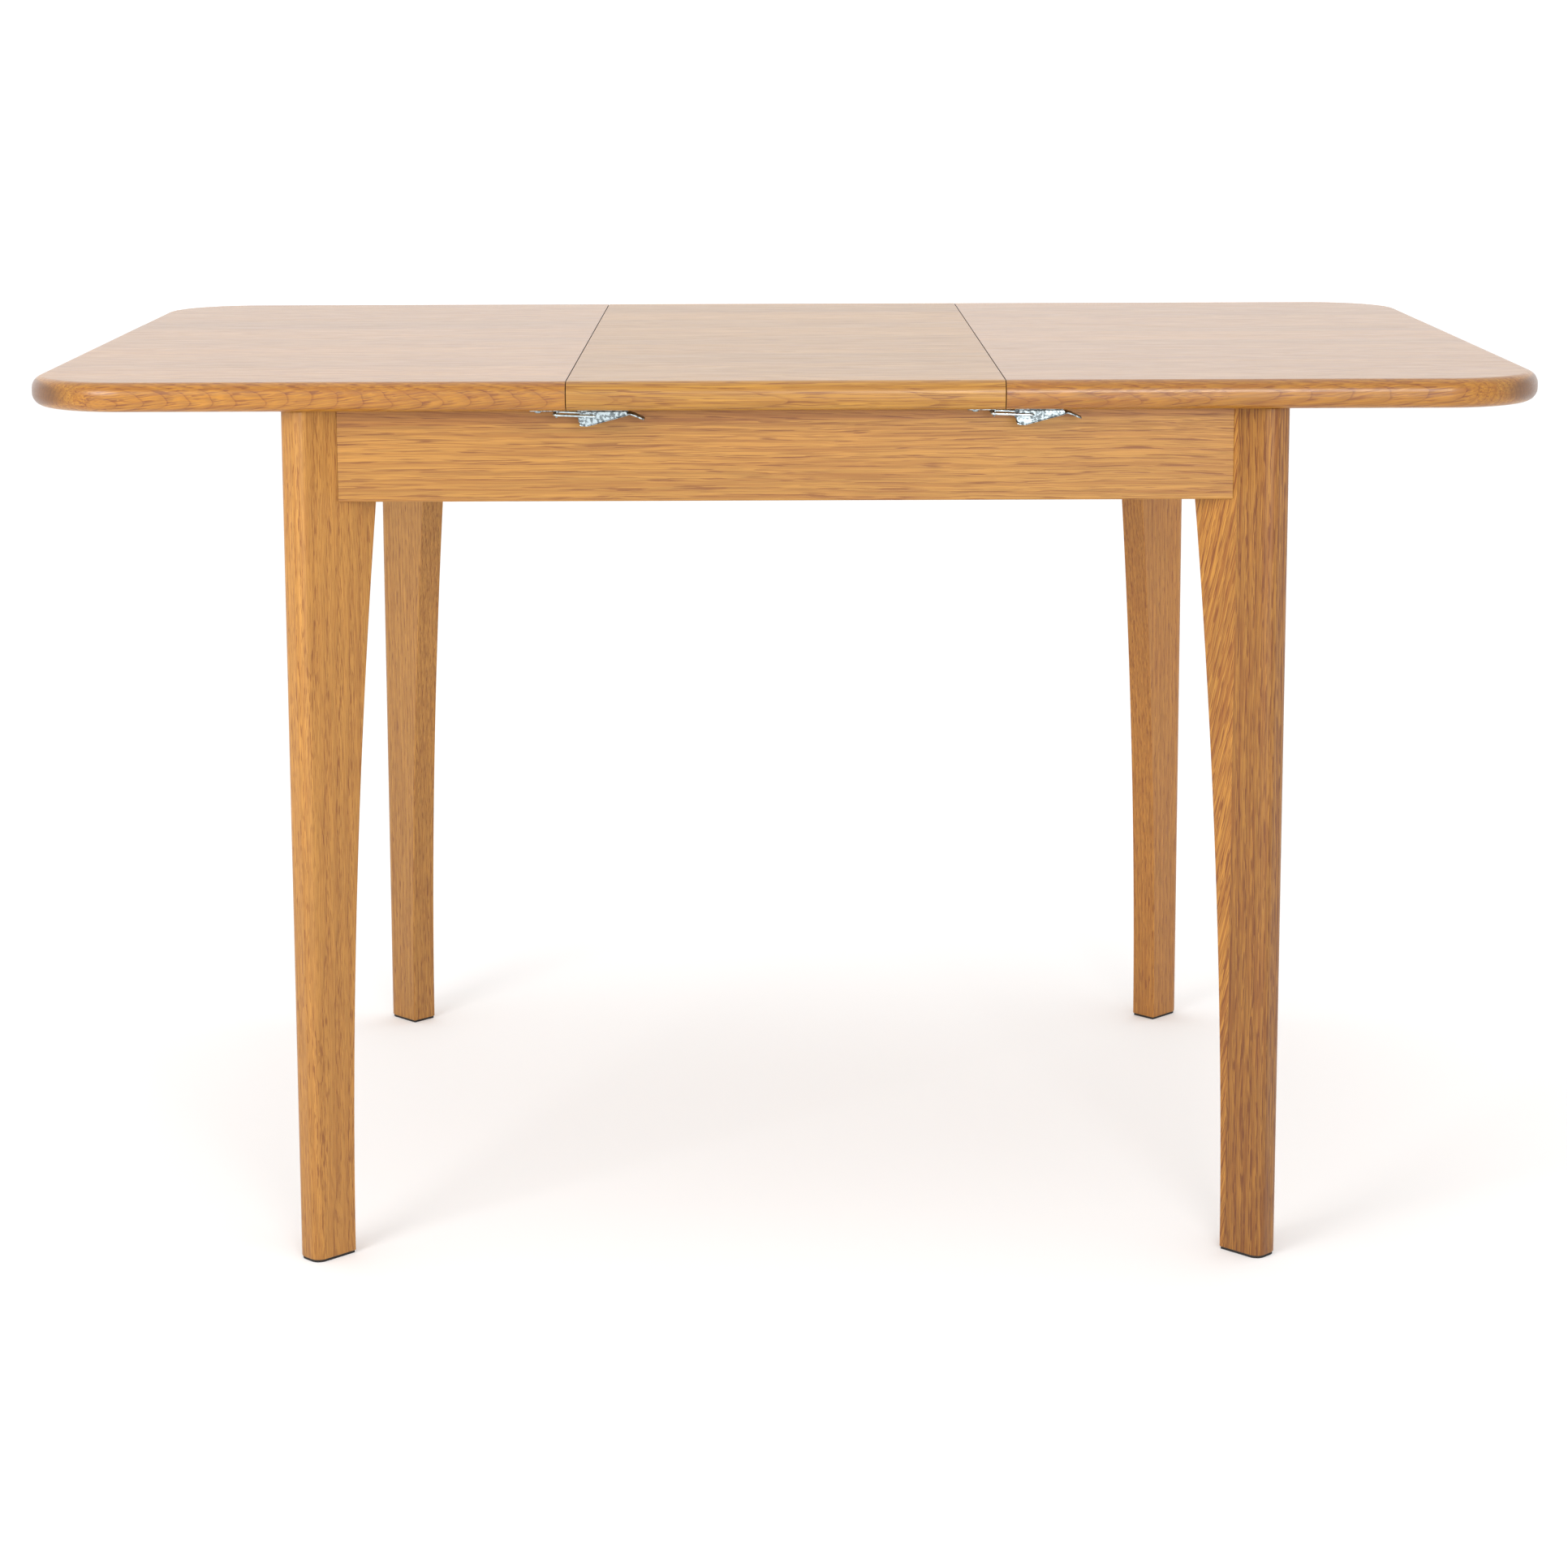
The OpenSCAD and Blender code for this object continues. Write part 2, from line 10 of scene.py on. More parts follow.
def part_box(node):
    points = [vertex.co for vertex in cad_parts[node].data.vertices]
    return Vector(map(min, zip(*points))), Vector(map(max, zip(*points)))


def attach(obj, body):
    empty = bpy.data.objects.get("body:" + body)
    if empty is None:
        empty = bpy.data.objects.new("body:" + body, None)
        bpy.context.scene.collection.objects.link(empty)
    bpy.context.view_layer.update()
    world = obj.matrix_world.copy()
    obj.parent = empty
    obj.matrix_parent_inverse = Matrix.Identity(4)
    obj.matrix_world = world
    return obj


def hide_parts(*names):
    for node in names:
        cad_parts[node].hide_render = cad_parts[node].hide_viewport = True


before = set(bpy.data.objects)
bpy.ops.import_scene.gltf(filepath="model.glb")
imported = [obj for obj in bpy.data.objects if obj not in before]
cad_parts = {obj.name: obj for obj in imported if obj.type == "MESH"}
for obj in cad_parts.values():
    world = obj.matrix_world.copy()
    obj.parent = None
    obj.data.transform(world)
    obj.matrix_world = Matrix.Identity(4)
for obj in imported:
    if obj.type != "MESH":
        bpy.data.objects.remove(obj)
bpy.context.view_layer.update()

bl_info = {
    "name": "Extending table surfaces",
    "version": (1, 0, 0),
    "blender": (4, 5, 0),
    "location": "View3D > Sidebar > Table",
    "description": "Builds the surfaces, materials and stage of an extending oak table",
    "category": "Object",
}

HOLD = 0.0003
MM = 0.001

TOP_LOW, TOP_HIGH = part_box("leaf_panel")
HALF_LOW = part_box("left_top_panel")[0]
APRON_LOW, APRON_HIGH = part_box("front_apron")
END_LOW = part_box("left_apron")[0]
LEG_LOW, LEG_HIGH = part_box("front_left_leg")
UNDER = TOP_LOW.z
LATCH_Y = (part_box("leaf_front_base")[0].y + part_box("leaf_front_base")[1].y) / -2


class TableSizes(bpy.types.PropertyGroup):
    """Sizes of the rounded edges and of the small latch parts."""

    edge_round: FloatProperty(
        name="Edge rounding", description="Radius of the top's long edges and ends",
        default=0.010, min=0.004, max=0.011, unit="LENGTH")
    corner_round: FloatProperty(
        name="Corner rounding", description="Radius of the top's outer corners in plan",
        default=0.085, min=0.06, max=0.102, unit="LENGTH")
    seam_arris: FloatProperty(
        name="Joint arris", description="Small rounding along both sides of a joint in the top",
        default=0.0006, min=0.0002, max=0.002, unit="LENGTH")
    seam_gap: FloatProperty(
        name="Joint gap", description="How far each side of a joint stays back from the joint's middle",
        default=0.0003, min=0.0, max=0.001, unit="LENGTH")
    leg_round: FloatProperty(
        name="Leg rounding", description="Radius of the two outer corners of a leg",
        default=0.009, min=0.003, max=0.010, unit="LENGTH")
    leg_thickness: FloatProperty(
        name="Leg thickness", description="Thickness of the leg boards",
        default=0.027, min=0.022, max=0.033, unit="LENGTH")
    leg_foot: FloatProperty(
        name="Foot width", description="Width of a leg at the floor",
        default=0.041, min=0.034, max=0.050, unit="LENGTH")
    leg_head: FloatProperty(
        name="Leg head width", description="Width of a leg behind the apron",
        default=0.080, min=0.070, max=0.090, unit="LENGTH")
    leg_curve: FloatProperty(
        name="Taper curve", description="Power of the curve that the inner edge of a leg follows",
        default=1.9, min=1.2, max=3.0)
    arris: FloatProperty(
        name="Arris", description="Small rounding of sawn edges",
        default=0.0012, min=0.0004, max=0.002, unit="LENGTH")
    wire: FloatProperty(
        name="Bail wire", description="Diameter of the latch wire",
        default=0.0024, min=0.002, max=0.0026, unit="LENGTH")
    block: FloatProperty(
        name="Corner block", description="Thickness of the corner blocks",
        default=0.028, min=0.020, max=0.036, unit="LENGTH")


def colour(name, text, value):
    """A colour property."""
    return FloatVectorProperty(name=name, description=text, subtype="COLOR", size=3,
                               min=0.0, max=1.0, default=value)


class TableColours(bpy.types.PropertyGroup):
    """Base colours of the materials."""

    top: colour("Half tops", "Oak of the two half tops", (0.46, 0.196, 0.017))
    leaf: colour("Leaf", "Oak of the loose leaf", (0.45, 0.208, 0.022))
    leg: colour("Legs", "Oak of the legs", (0.545, 0.252, 0.039))
    apron: colour("Aprons", "Oak of the aprons", (0.47, 0.216, 0.034))
    hidden: colour("Blocks and rails", "Oak of the hidden parts", (0.50, 0.26, 0.09))
    runner: colour("Runners", "Hardwood of the sliders and guide rails", (0.30, 0.125, 0.040))
    zinc: colour("Zinc", "Plated latch parts", (0.50, 0.58, 0.61))
    steel: colour("Steel", "Bolts, nuts and screws", (0.62, 0.62, 0.60))
    pad: colour("Foot pads", "Felt under the feet", (0.030, 0.026, 0.023))
    floor: colour("Floor", "Studio floor", (0.86, 0.86, 0.86))


class TableStage(bpy.types.PropertyGroup):
    """Strength of the studio light."""

    key: FloatProperty(name="Key light", description="Power of the large light at the left",
                       default=30.0, min=0.0, max=2000.0, unit="POWER")
    fill: FloatProperty(name="Fill light", description="Power of the light over the table",
                        default=12.0, min=0.0, max=2000.0, unit="POWER")
    front: FloatProperty(name="Front light", description="Power of the light in front of the table",
                         default=38.0, min=0.0, max=2000.0, unit="POWER")
    ambient: FloatProperty(name="Ambient", description="Strength of the white surroundings",
                           default=1.0, min=0.0, max=5.0)


class TableSettings(bpy.types.PropertyGroup):
    """All settings of the table."""

    sizes: PointerProperty(type=TableSizes)
    colours: PointerProperty(type=TableColours)
    stage: PointerProperty(type=TableStage)


# Surfaces


def outline(corners, radii, inset, steps=6):
    """Closed outlines of a polygon, one for each row of inset.

    Each edge moves inward by its own inset, and each corner becomes an arc between the two moved
    edges. A corner that turns the other way gets its arc on the outside. A point just before and
    just after each arc keeps the straight parts flat.
    """
    inset = np.asarray(inset, float)
    p = np.broadcast_to(np.asarray(corners, float), inset.shape + (2,))
    edge = np.roll(p, -1, axis=-2) - p
    length = np.linalg.norm(edge, axis=-1)
    out = edge / length[..., None]
    come = np.roll(out, 1, axis=-2)
    shortest = np.minimum(length, np.roll(length, 1, axis=-1))
    n_out = np.stack([-out[..., 1], out[..., 0]], -1)
    n_in = np.roll(n_out, 1, axis=-2)
    before = np.roll(inset, 1, axis=-1)
    c = np.clip((n_in * n_out).sum(-1), -0.999, 0.9999)
    share_in = ((before - c * inset) / (1 - c * c))[..., None]
    share_out = ((inset - c * before) / (1 - c * c))[..., None]
    q = p + share_in * n_in + share_out * n_out
    cross = come[..., 0] * out[..., 1] - come[..., 1] * out[..., 0]
    side = np.where(cross >= 0, 1.0, -1.0)
    turn = np.arctan2(np.abs(cross), (come * out).sum(-1))
    least = np.minimum(inset, before)
    r = np.where(side > 0, np.maximum(radii - least, 2e-5), radii + least)
    r = np.minimum(r, 0.45 * shortest / np.tan(turn / 2))
    reach = (r * np.tan(turn / 2))[..., None]
    hold = np.minimum(HOLD, 0.04 * shortest)[..., None]
    start = q - come * reach
    middle = start + (side * r)[..., None] * n_in
    phi = turn[..., None] * np.linspace(0, 1, steps + 1)
    back = -(side[..., None] * n_in)[..., None, :]
    arc = middle[..., None, :] + r[..., None, None] * (
        back * np.cos(phi)[..., None] + come[..., None, :] * np.sin(phi)[..., None])
    first = (start - come * hold)[..., None, :]
    last = (q + out * (reach + hold))[..., None, :]
    points = np.concatenate([first, arc, last], axis=-2)
    return points.reshape(inset.shape[0], -1, 2)


def skin(rings):
    """Closed surface through a stack of closed rings, with a pole in the middle of each end.

    The faces look outward: their order is turned if the volume that they enclose is negative.
    """
    rows, cols = rings.shape[:2]
    points = np.vstack([rings.reshape(-1, 3), rings[0].mean(0), rings[-1].mean(0)])
    row = np.arange(rows - 1)[:, None] * cols
    j = np.arange(cols)
    k = (j + 1) % cols
    quads = np.stack([row + j, row + k, row + cols + k, row + cols + j], -1).reshape(-1, 4)
    last = (rows - 1) * cols
    pole = np.full(cols, rows * cols)
    tris = np.vstack([np.stack([k, j, pole], -1), np.stack([j + last, k + last, pole + 1], -1)])
    every = np.vstack([tris, quads[:, :3], quads[:, [0, 2, 3]]])
    a, b, c = points[every].transpose(1, 0, 2)
    if (a * np.cross(b, c)).sum() < 0:
        quads = quads[:, ::-1]
        tris = tris[:, ::-1]
    return points, quads, tris


def place(flat, height, origin=(0, 0, 0), axes=((1, 0, 0), (0, 1, 0), (0, 0, 1))):
    """Rings drawn in a plane, set at their heights in a frame of three axes."""
    a, b, h = np.asarray(axes, float)
    height = np.broadcast_to(np.asarray(height, float)[:, None, None], flat.shape[:2] + (1,))
    return np.asarray(origin, float) + flat[..., :1] * a + flat[..., 1:] * b + height * h


def climbs(rounds, levels):
    """Heights of the rings near one face, and how far each edge is drawn in at each of them.

    An edge of radius r is drawn in by r - sqrt(r^2 - (r - h)^2) at the height h above the face.
    """
    turn = np.linspace(0, math.pi / 2, levels)
    height = np.unique(np.round(np.outer(np.unique(rounds), 1 - np.cos(turn)).ravel(), 7))
    left = rounds - np.minimum(height[:, None], rounds)
    inset = rounds - np.sqrt(np.maximum(rounds ** 2 - left ** 2, 0))
    height = np.concatenate([[0.0], height, [height[-1] + HOLD]])
    return height, np.vstack([inset[:1] + HOLD, inset, inset[-1:]])


def slab(corners, radii, low, high, rounds, levels=6, steps=6, **where):
    """Board with an outline of rounded corners, and a quarter round of its own radius on each edge."""
    rounds = np.broadcast_to(np.asarray(rounds, float), (len(corners),)).copy()
    height, inset = climbs(rounds, levels)
    heights = np.concatenate([low + height, high - height[::-1]])
    rings = outline(corners, np.asarray(radii, float), np.vstack([inset, inset[::-1]]), steps)
    return skin(place(rings, heights, **where))


def round_path(corners, radii, steps=8):
    """Open line in a plane with rounded bends, and its direction at each point."""
    p = np.asarray(corners, float)
    along = np.diff(p, axis=0)
    length = np.linalg.norm(along, axis=1)
    along = along / length[:, None]
    come, out = along[:-1], along[1:]
    n = np.stack([-come[:, 1], come[:, 0]], -1)
    cross = come[:, 0] * out[:, 1] - come[:, 1] * out[:, 0]
    side = np.sign(cross)
    turn = np.maximum(np.arctan2(np.abs(cross), (come * out).sum(1)), 1e-6)
    r = np.minimum(radii, 0.45 * np.minimum(length[:-1], length[1:]) / np.tan(turn / 2))
    start = p[1:-1] - come * (r * np.tan(turn / 2))[:, None]
    phi = turn[:, None] * np.linspace(0, 1, steps + 1)
    sweep = come[:, None] * np.cos(phi)[..., None] + (side[:, None] * n)[:, None] * np.sin(phi)[..., None]
    back = (side[:, None] * n)[:, None] * (1 - np.cos(phi))[..., None]
    arc = start[:, None] + r[:, None, None] * (come[:, None] * np.sin(phi)[..., None] + back)
    points = np.vstack([p[:1], arc.reshape(-1, 2), p[-1:]])
    ways = np.vstack([along[:1], sweep.reshape(-1, 2), along[-1:]])
    return points, ways


def tube(corners, radii, radius, origin, axes, around=16):
    """Round wire along a bent line: a circle at each point, square to the line."""
    points, ways = round_path(corners, radii)
    a, b, h = np.asarray(axes, float)
    centre = np.asarray(origin, float) + points[:, :1] * a + points[:, 1:] * b
    across = ways[:, :1] * b - ways[:, 1:] * a
    phi = np.linspace(0, 2 * math.pi, around, endpoint=False)[None, :, None]
    rings = centre[:, None] + radius * (across[:, None] * np.cos(phi) + h * np.sin(phi))
    return skin(rings)


def strip(corners, radii, thick, widths, origin, bend_steps=6, edge=0.3 * MM):
    """Bent sheet metal: a rounded rectangle swept along a bent line in x and z.

    widths holds places along the line, from 0 to 1, and the half widths there. The tip is drawn in
    over the last rings, so that no edge stays sharp.
    """
    points, ways = round_path(corners, radii, bend_steps)
    run = np.concatenate([[0], np.cumsum(np.linalg.norm(np.diff(points, axis=0), axis=1))])
    whole = run[-1]
    tip = edge * (1 - np.cos(np.linspace(0, math.pi / 2, 4)))
    stations = np.linspace(0, whole, 60)
    stations = np.unique(np.round(np.concatenate([tip, run, stations, whole - tip]), 7))
    x = np.interp(stations, run, points[:, 0])
    z = np.interp(stations, run, points[:, 1])
    wx = np.interp(stations, run, ways[:, 0])
    wz = np.interp(stations, run, ways[:, 1])
    size = np.hypot(wx, wz)
    half = np.interp(stations / whole, widths[0], widths[1])
    near = np.minimum(np.minimum(stations, whole - stations), edge)
    draw = edge - np.sqrt(np.maximum(edge ** 2 - (edge - near) ** 2, 0))
    t = np.full_like(half, thick / 2)
    box = np.stack([np.stack([-half, -t], -1), np.stack([half, -t], -1),
                    np.stack([half, t], -1), np.stack([-half, t], -1)], -2)
    flat = outline(box, edge, np.repeat(draw[:, None], 4, 1), 3)
    centre = np.stack([x, np.zeros_like(x), z], -1) + np.asarray(origin, float)
    up = np.stack([-wz / size, np.zeros_like(x), wx / size], -1)
    rings = centre[:, None] + flat[..., :1] * np.array([0, 1.0, 0]) + flat[..., 1:] * up[:, None]
    return skin(rings)


def lathe(profile, origin, axis=(0, 0, 1), around=40, dent=None):
    """Surface of revolution through a profile of radius and height; dent sinks points along the axis."""
    axis = np.asarray(axis, float)
    side = np.array([1.0, 0, 0]) if abs(axis[0]) < 0.5 else np.array([0, 0, 1.0])
    other = np.cross(axis, side)
    profile = np.asarray(profile, float)
    phi = np.linspace(0, 2 * math.pi, around, endpoint=False)
    x = profile[:, :1] * np.cos(phi)
    y = profile[:, :1] * np.sin(phi)
    z = profile[:, 1:] + 0 * x
    if dent is not None:
        z = z - dent(x, y)
    rings = np.asarray(origin, float) + x[..., None] * side + y[..., None] * other + z[..., None] * axis
    return skin(rings)


def cross_dent(x, y):
    """Depth of a cross recess: two crossed grooves that shallow out from the middle."""
    near = np.minimum(np.abs(x), np.abs(y))
    far = np.maximum(np.abs(x), np.abs(y))
    wide = np.clip((0.42 * MM - near) / (0.14 * MM), 0, 1)
    long = np.clip((1.7 * MM - far) / (0.5 * MM), 0, 1)
    return 0.9 * MM * wide * long


def screw_head(origin, radius, rise):
    """Domed screw head that hangs under a plate, with a cross recess."""
    share = np.linspace(1, 0.02, 26)
    dome = np.stack([radius * share, rise * (0.45 + 0.55 * np.sqrt(1 - share ** 2))], -1)
    rim = np.array([[radius * 0.5, 0], [radius * 0.97, 0], [radius, rise * 0.05]])
    return lathe(np.vstack([rim, dome]), origin, (0, 0, -1), 56, cross_dent)


def piece(name, parts, material, body, nodes, fibres=((1, 0, 0), (0, 1, 0)), start=(0, 0, 0),
          crease=38):
    """Makes one mesh object of closed parts, rides it on its body and puts it in place of CAD nodes.

    The attribute grain holds, in metres, how far a point lies along the fibres, across the board and
    through it. The attribute end is how far a surface faces along the fibres.
    """
    count = np.cumsum([0] + [len(p[0]) for p in parts])
    points = np.vstack([p[0] for p in parts])
    quads = np.vstack([p[1] + n for p, n in zip(parts, count)])
    tris = np.vstack([p[2] + n for p, n in zip(parts, count)])
    mesh = bpy.data.meshes.new(name)
    mesh.vertices.add(len(points))
    mesh.vertices.foreach_set("co", points.astype(np.float32).ravel())
    mesh.loops.add(quads.size + tris.size)
    mesh.loops.foreach_set("vertex_index", np.concatenate([quads.ravel(), tris.ravel()]).astype(np.int32))
    mesh.polygons.add(len(quads) + len(tris))
    begin = np.concatenate([np.arange(len(quads)) * 4, quads.size + np.arange(len(tris)) * 3])
    mesh.polygons.foreach_set("loop_start", begin.astype(np.int32))
    mesh.polygons.foreach_set("use_smooth", np.ones(len(begin), bool))
    mesh.update(calc_edges=True)
    if mesh.validate():
        raise RuntimeError(f"the surface of {name} has faces that are not valid")
    mesh.set_sharp_from_angle(angle=math.radians(crease))
    along, across = np.asarray(fibres, float)
    axes = np.stack([along, across, np.cross(along, across)])
    grain = (points - np.asarray(start, float)) @ axes.T
    mesh.attributes.new("grain", "FLOAT_VECTOR", "POINT").data.foreach_set(
        "vector", grain.astype(np.float32).ravel())
    normal = np.zeros(len(points) * 3, np.float32)
    mesh.vertex_normals.foreach_get("vector", normal)
    facing = np.abs(normal.reshape(-1, 3) @ along).astype(np.float32)
    mesh.attributes.new("end", "FLOAT", "POINT").data.foreach_set("value", facing)
    mesh.materials.append(material)
    made = bpy.data.objects.new(name, mesh)
    bpy.context.scene.collection.objects.link(made)
    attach(made, body)
    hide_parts(*nodes)
    return made


def dress(nodes, material):
    """Gives CAD nodes that stay in view a procedural material."""
    for name in nodes:
        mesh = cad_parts[name].data
        if len(mesh.materials) == 0:
            mesh.materials.append(material)
        for i in range(len(mesh.materials)):
            mesh.materials[i] = material


# Materials


def add(tree, kind, inputs=None, **settings):
    """Adds a node, sets it up, and links or fills its inputs."""
    node = tree.nodes.new(kind)
    for key, value in settings.items():
        setattr(node, key, value)
    for key, value in (inputs or {}).items():
        if isinstance(value, bpy.types.NodeSocket):
            tree.links.new(value, node.inputs[key])
        else:
            node.inputs[key].default_value = value
    return node


def new_material(name):
    """An empty node material with its surface shader linked to the output."""
    material = bpy.data.materials.new(name)
    material.use_nodes = True
    tree = material.node_tree
    tree.nodes.clear()
    shader = add(tree, "ShaderNodeBsdfPrincipled")
    add(tree, "ShaderNodeOutputMaterial", {"Surface": shader.outputs["BSDF"]})
    return material, tree, shader


def ramp(tree, value, stops, smooth=True):
    """Colour ramp over grey stops (place, level)."""
    node = add(tree, "ShaderNodeValToRGB", {"Fac": value})
    node.color_ramp.interpolation = "EASE" if smooth else "LINEAR"
    parts = node.color_ramp.elements
    parts[0].position, parts[1].position = stops[0][0], stops[-1][0]
    parts[0].color, parts[1].color = [stops[0][1]] * 3 + [1], [stops[-1][1]] * 3 + [1]
    for at, level in stops[1:-1]:
        parts.new(at).color = [level] * 3 + [1]
    return node.outputs["Color"]


def mix(tree, kind, factor, a, b):
    """Mix of two colours."""
    node = add(tree, "ShaderNodeMix", data_type="RGBA", blend_type=kind)
    for i, value in ((0, factor), (6, a), (7, b)):
        if isinstance(value, bpy.types.NodeSocket):
            tree.links.new(value, node.inputs[i])
        else:
            node.inputs[i].default_value = value
    return node.outputs[2]


def shade(base, r, g=None, b=None):
    """A colour times three factors."""
    return (base[0] * r, base[1] * (r if g is None else g), base[2] * (r if b is None else b), 1)


def stretched(tree, vector, x, across, detail=2.0, rough=0.5, shift=(0, 0, 0)):
    """Noise drawn out along the fibres: x cells per metre along them and more across them."""
    drawn = add(tree, "ShaderNodeMapping",
                {"Vector": vector, "Scale": (x, across, across), "Location": shift})
    noise = add(tree, "ShaderNodeTexNoise",
                {"Vector": drawn.outputs["Vector"], "Scale": 1.0, "Detail": detail, "Roughness": rough})
    return noise.outputs["Fac"]


def wood(name, base, attribute=True, shift=(0, 0, 0), pith=(0.02, 0.06), tilt=(0, 0.010, 0.014),
         ring=0.0042, figure=0.55, ticks=0.85, tick=(60, 800), stave=0.0, swing=(0, 0, 0), gloss=0.42,
         coat=0.06, wander=0.005, lamina=None, sparse=0.54, foot=None):
    """Oak: growth rings round a tilted pith, drawn-out pores that crowd in each ring, fibres and slow tone.

    stave is the width of the glued staves, and swing how far their rings turn from one to the next.
    lamina is (height, slope, tint, turn) of a glue line beyond which another piece of wood begins, whose
    fibres are turned by those angles.
    sparse is the noise level above which a pore shows, and foot the tint of a painted shade that darkens the
    wood towards the floor, where less light reaches it.
    """
    material, tree, shader = new_material(name)
    if attribute:
        source = add(tree, "ShaderNodeAttribute", attribute_name="grain").outputs["Vector"]
    else:
        source = add(tree, "ShaderNodeTexCoord").outputs["Object"]
    above = None
    # painted shade: the wood darkens towards the floor, fading out 0.62 m along the fibres
    if foot:
        parts = add(tree, "ShaderNodeSeparateXYZ", {0: source})
        painted_shade_and_gloss = ramp(tree, parts.outputs["X"], ((0.0, 1.0), (0.62, 0.0)), False)
    if lamina:
        # a point lies beyond the line where |across + slope * along| is more than the height
        line = add(tree, "ShaderNodeVectorMath", {0: source, 1: (lamina[1], 1, 0)}, operation="DOT_PRODUCT")
        line = add(tree, "ShaderNodeMath", {0: line.outputs["Value"]}, operation="ABSOLUTE")
        above = add(tree, "ShaderNodeMath", {0: line.outputs[0], 1: lamina[0]}, operation="GREATER_THAN")
        above = above.outputs[0]
        hop = add(tree, "ShaderNodeVectorMath", {0: (0.9, 0.021, 0.033), "Scale": above}, operation="SCALE")
        moved = add(tree, "ShaderNodeVectorMath", {0: source, 1: hop.outputs[0]}, operation="ADD")
        source = moved.outputs[0]
        askew = add(tree, "ShaderNodeMapping", {"Vector": source, "Rotation": lamina[3]})
        source = mix(tree, "MIX", above, source, askew.outputs["Vector"])
    source = add(tree, "ShaderNodeVectorMath", {0: source, 1: shift}, operation="ADD").outputs[0]
    tone = None
    turned = tilt
    if stave:
        parts = add(tree, "ShaderNodeSeparateXYZ", {0: source})
        number = add(tree, "ShaderNodeMath", {0: parts.outputs["Y"], 1: stave}, operation="DIVIDE")
        number = add(tree, "ShaderNodeMath", {0: number.outputs[0]}, operation="FLOOR")
        chance = add(tree, "ShaderNodeTexWhiteNoise", {"W": number.outputs[0]}, noise_dimensions="1D")
        tone = ramp(tree, chance.outputs["Value"], ((0, 0.88), (1, 1.0)), False)
        jump = add(tree, "ShaderNodeVectorMath",
                   {0: chance.outputs["Color"], 1: (2.3, 0.07, 0.05), 2: source}, operation="MULTIPLY_ADD")
        source = jump.outputs[0]
        centred = add(tree, "ShaderNodeVectorMath", {0: chance.outputs["Color"], 1: (0.5, 0.5, 0.5)},
                      operation="SUBTRACT")
        turned = add(tree, "ShaderNodeVectorMath", {0: centred.outputs[0], 1: swing, 2: tilt},
                     operation="MULTIPLY_ADD").outputs[0]
    # slow wander of the fibres
    wide = add(tree, "ShaderNodeMapping", {"Vector": source, "Scale": (4.0, 22, 22)})
    drift = add(tree, "ShaderNodeTexNoise", {"Vector": wide.outputs["Vector"], "Scale": 1.0, "Detail": 2.0})
    centred = add(tree, "ShaderNodeVectorMath", {0: drift.outputs["Color"], 1: (0.5, 0.5, 0.5)},
                  operation="SUBTRACT")
    bent = add(tree, "ShaderNodeVectorMath", {0: centred.outputs[0], 1: (0, wander, wander), 2: source},
               operation="MULTIPLY_ADD").outputs[0]
    # rings
    heart = add(tree, "ShaderNodeMapping",
                {"Vector": bent, "Location": (0, pith[0], pith[1]), "Rotation": turned})
    rings = add(tree, "ShaderNodeTexWave", {"Vector": heart.outputs["Vector"], "Scale": 0.31416 / ring,
                                            "Distortion": 1.4, "Detail": 2.0, "Detail Scale": 0.6},
                wave_type="RINGS", rings_direction="X", wave_profile="SAW")
    band = rings.outputs["Fac"]
    late = ramp(tree, band, ((0.0, 0.0), (0.12, 0.75), (0.45, 1.0), (1.0, 0.66)))
    light = shade(base, 1.10, 1.12, 1.16)
    dark = shade(base, 1 - 0.34 * figure, 1 - 0.46 * figure, 1 - 0.60 * figure)
    look = mix(tree, "MIX", late, dark, light)
    # slow tone along and across the board
    slow = ramp(tree, stretched(tree, source, 1.7, 16, 3.0), ((0.30, 0.80), (0.70, 1.0)), False)
    look = mix(tree, "MULTIPLY", 0.9, look, slow)
    if tone is not None:
        look = mix(tree, "MULTIPLY", 1.0, look, tone)
    # fibres
    fine = stretched(tree, bent, tick[0] / 3, tick[1] * 1.6, 2.0)
    fibre = ramp(tree, fine, ((0.34, 0.66), (0.60, 1.0)), False)
    look = mix(tree, "MULTIPLY", 0.75, look, fibre)
    # long streaks
    streak = ramp(tree, stretched(tree, bent, tick[0] / 6, tick[1] / 3, 2.0, 0.6, (3, 1, 7)),
                  ((0.50, 0.0), (0.62, 1.0)))
    look = mix(tree, "MIX", mix(tree, "MULTIPLY", 1.0, streak, (0.55 * figure,) * 3 + (1,)), look,
               shade(base, 0.56, 0.42, 0.30))
    # pores
    open_grain = stretched(tree, bent, tick[0], tick[1], 1.0, 0.5, (5, 2, 3))
    pore = ramp(tree, open_grain, ((sparse, 0.0), (sparse + 0.07, 1.0)))
    crowd = ramp(tree, band, ((0.0, 1.0), (0.35, 0.85), (0.6, 0.42), (1.0, 0.30)))
    pores = mix(tree, "MULTIPLY", 1.0, pore, crowd)
    look = mix(tree, "MIX", mix(tree, "MULTIPLY", 1.0, pores, (ticks,) * 3 + (1,)), look,
               shade(base, 0.40, 0.26, 0.16))
    if lamina:
        look = mix(tree, "MULTIPLY", above, look, tuple(lamina[2]) + (1,))
    # painted shade: the foot tint is multiplied in towards the floor
    if foot:
        look = mix(tree, "MULTIPLY", painted_shade_and_gloss, look, tuple(foot) + (1,))
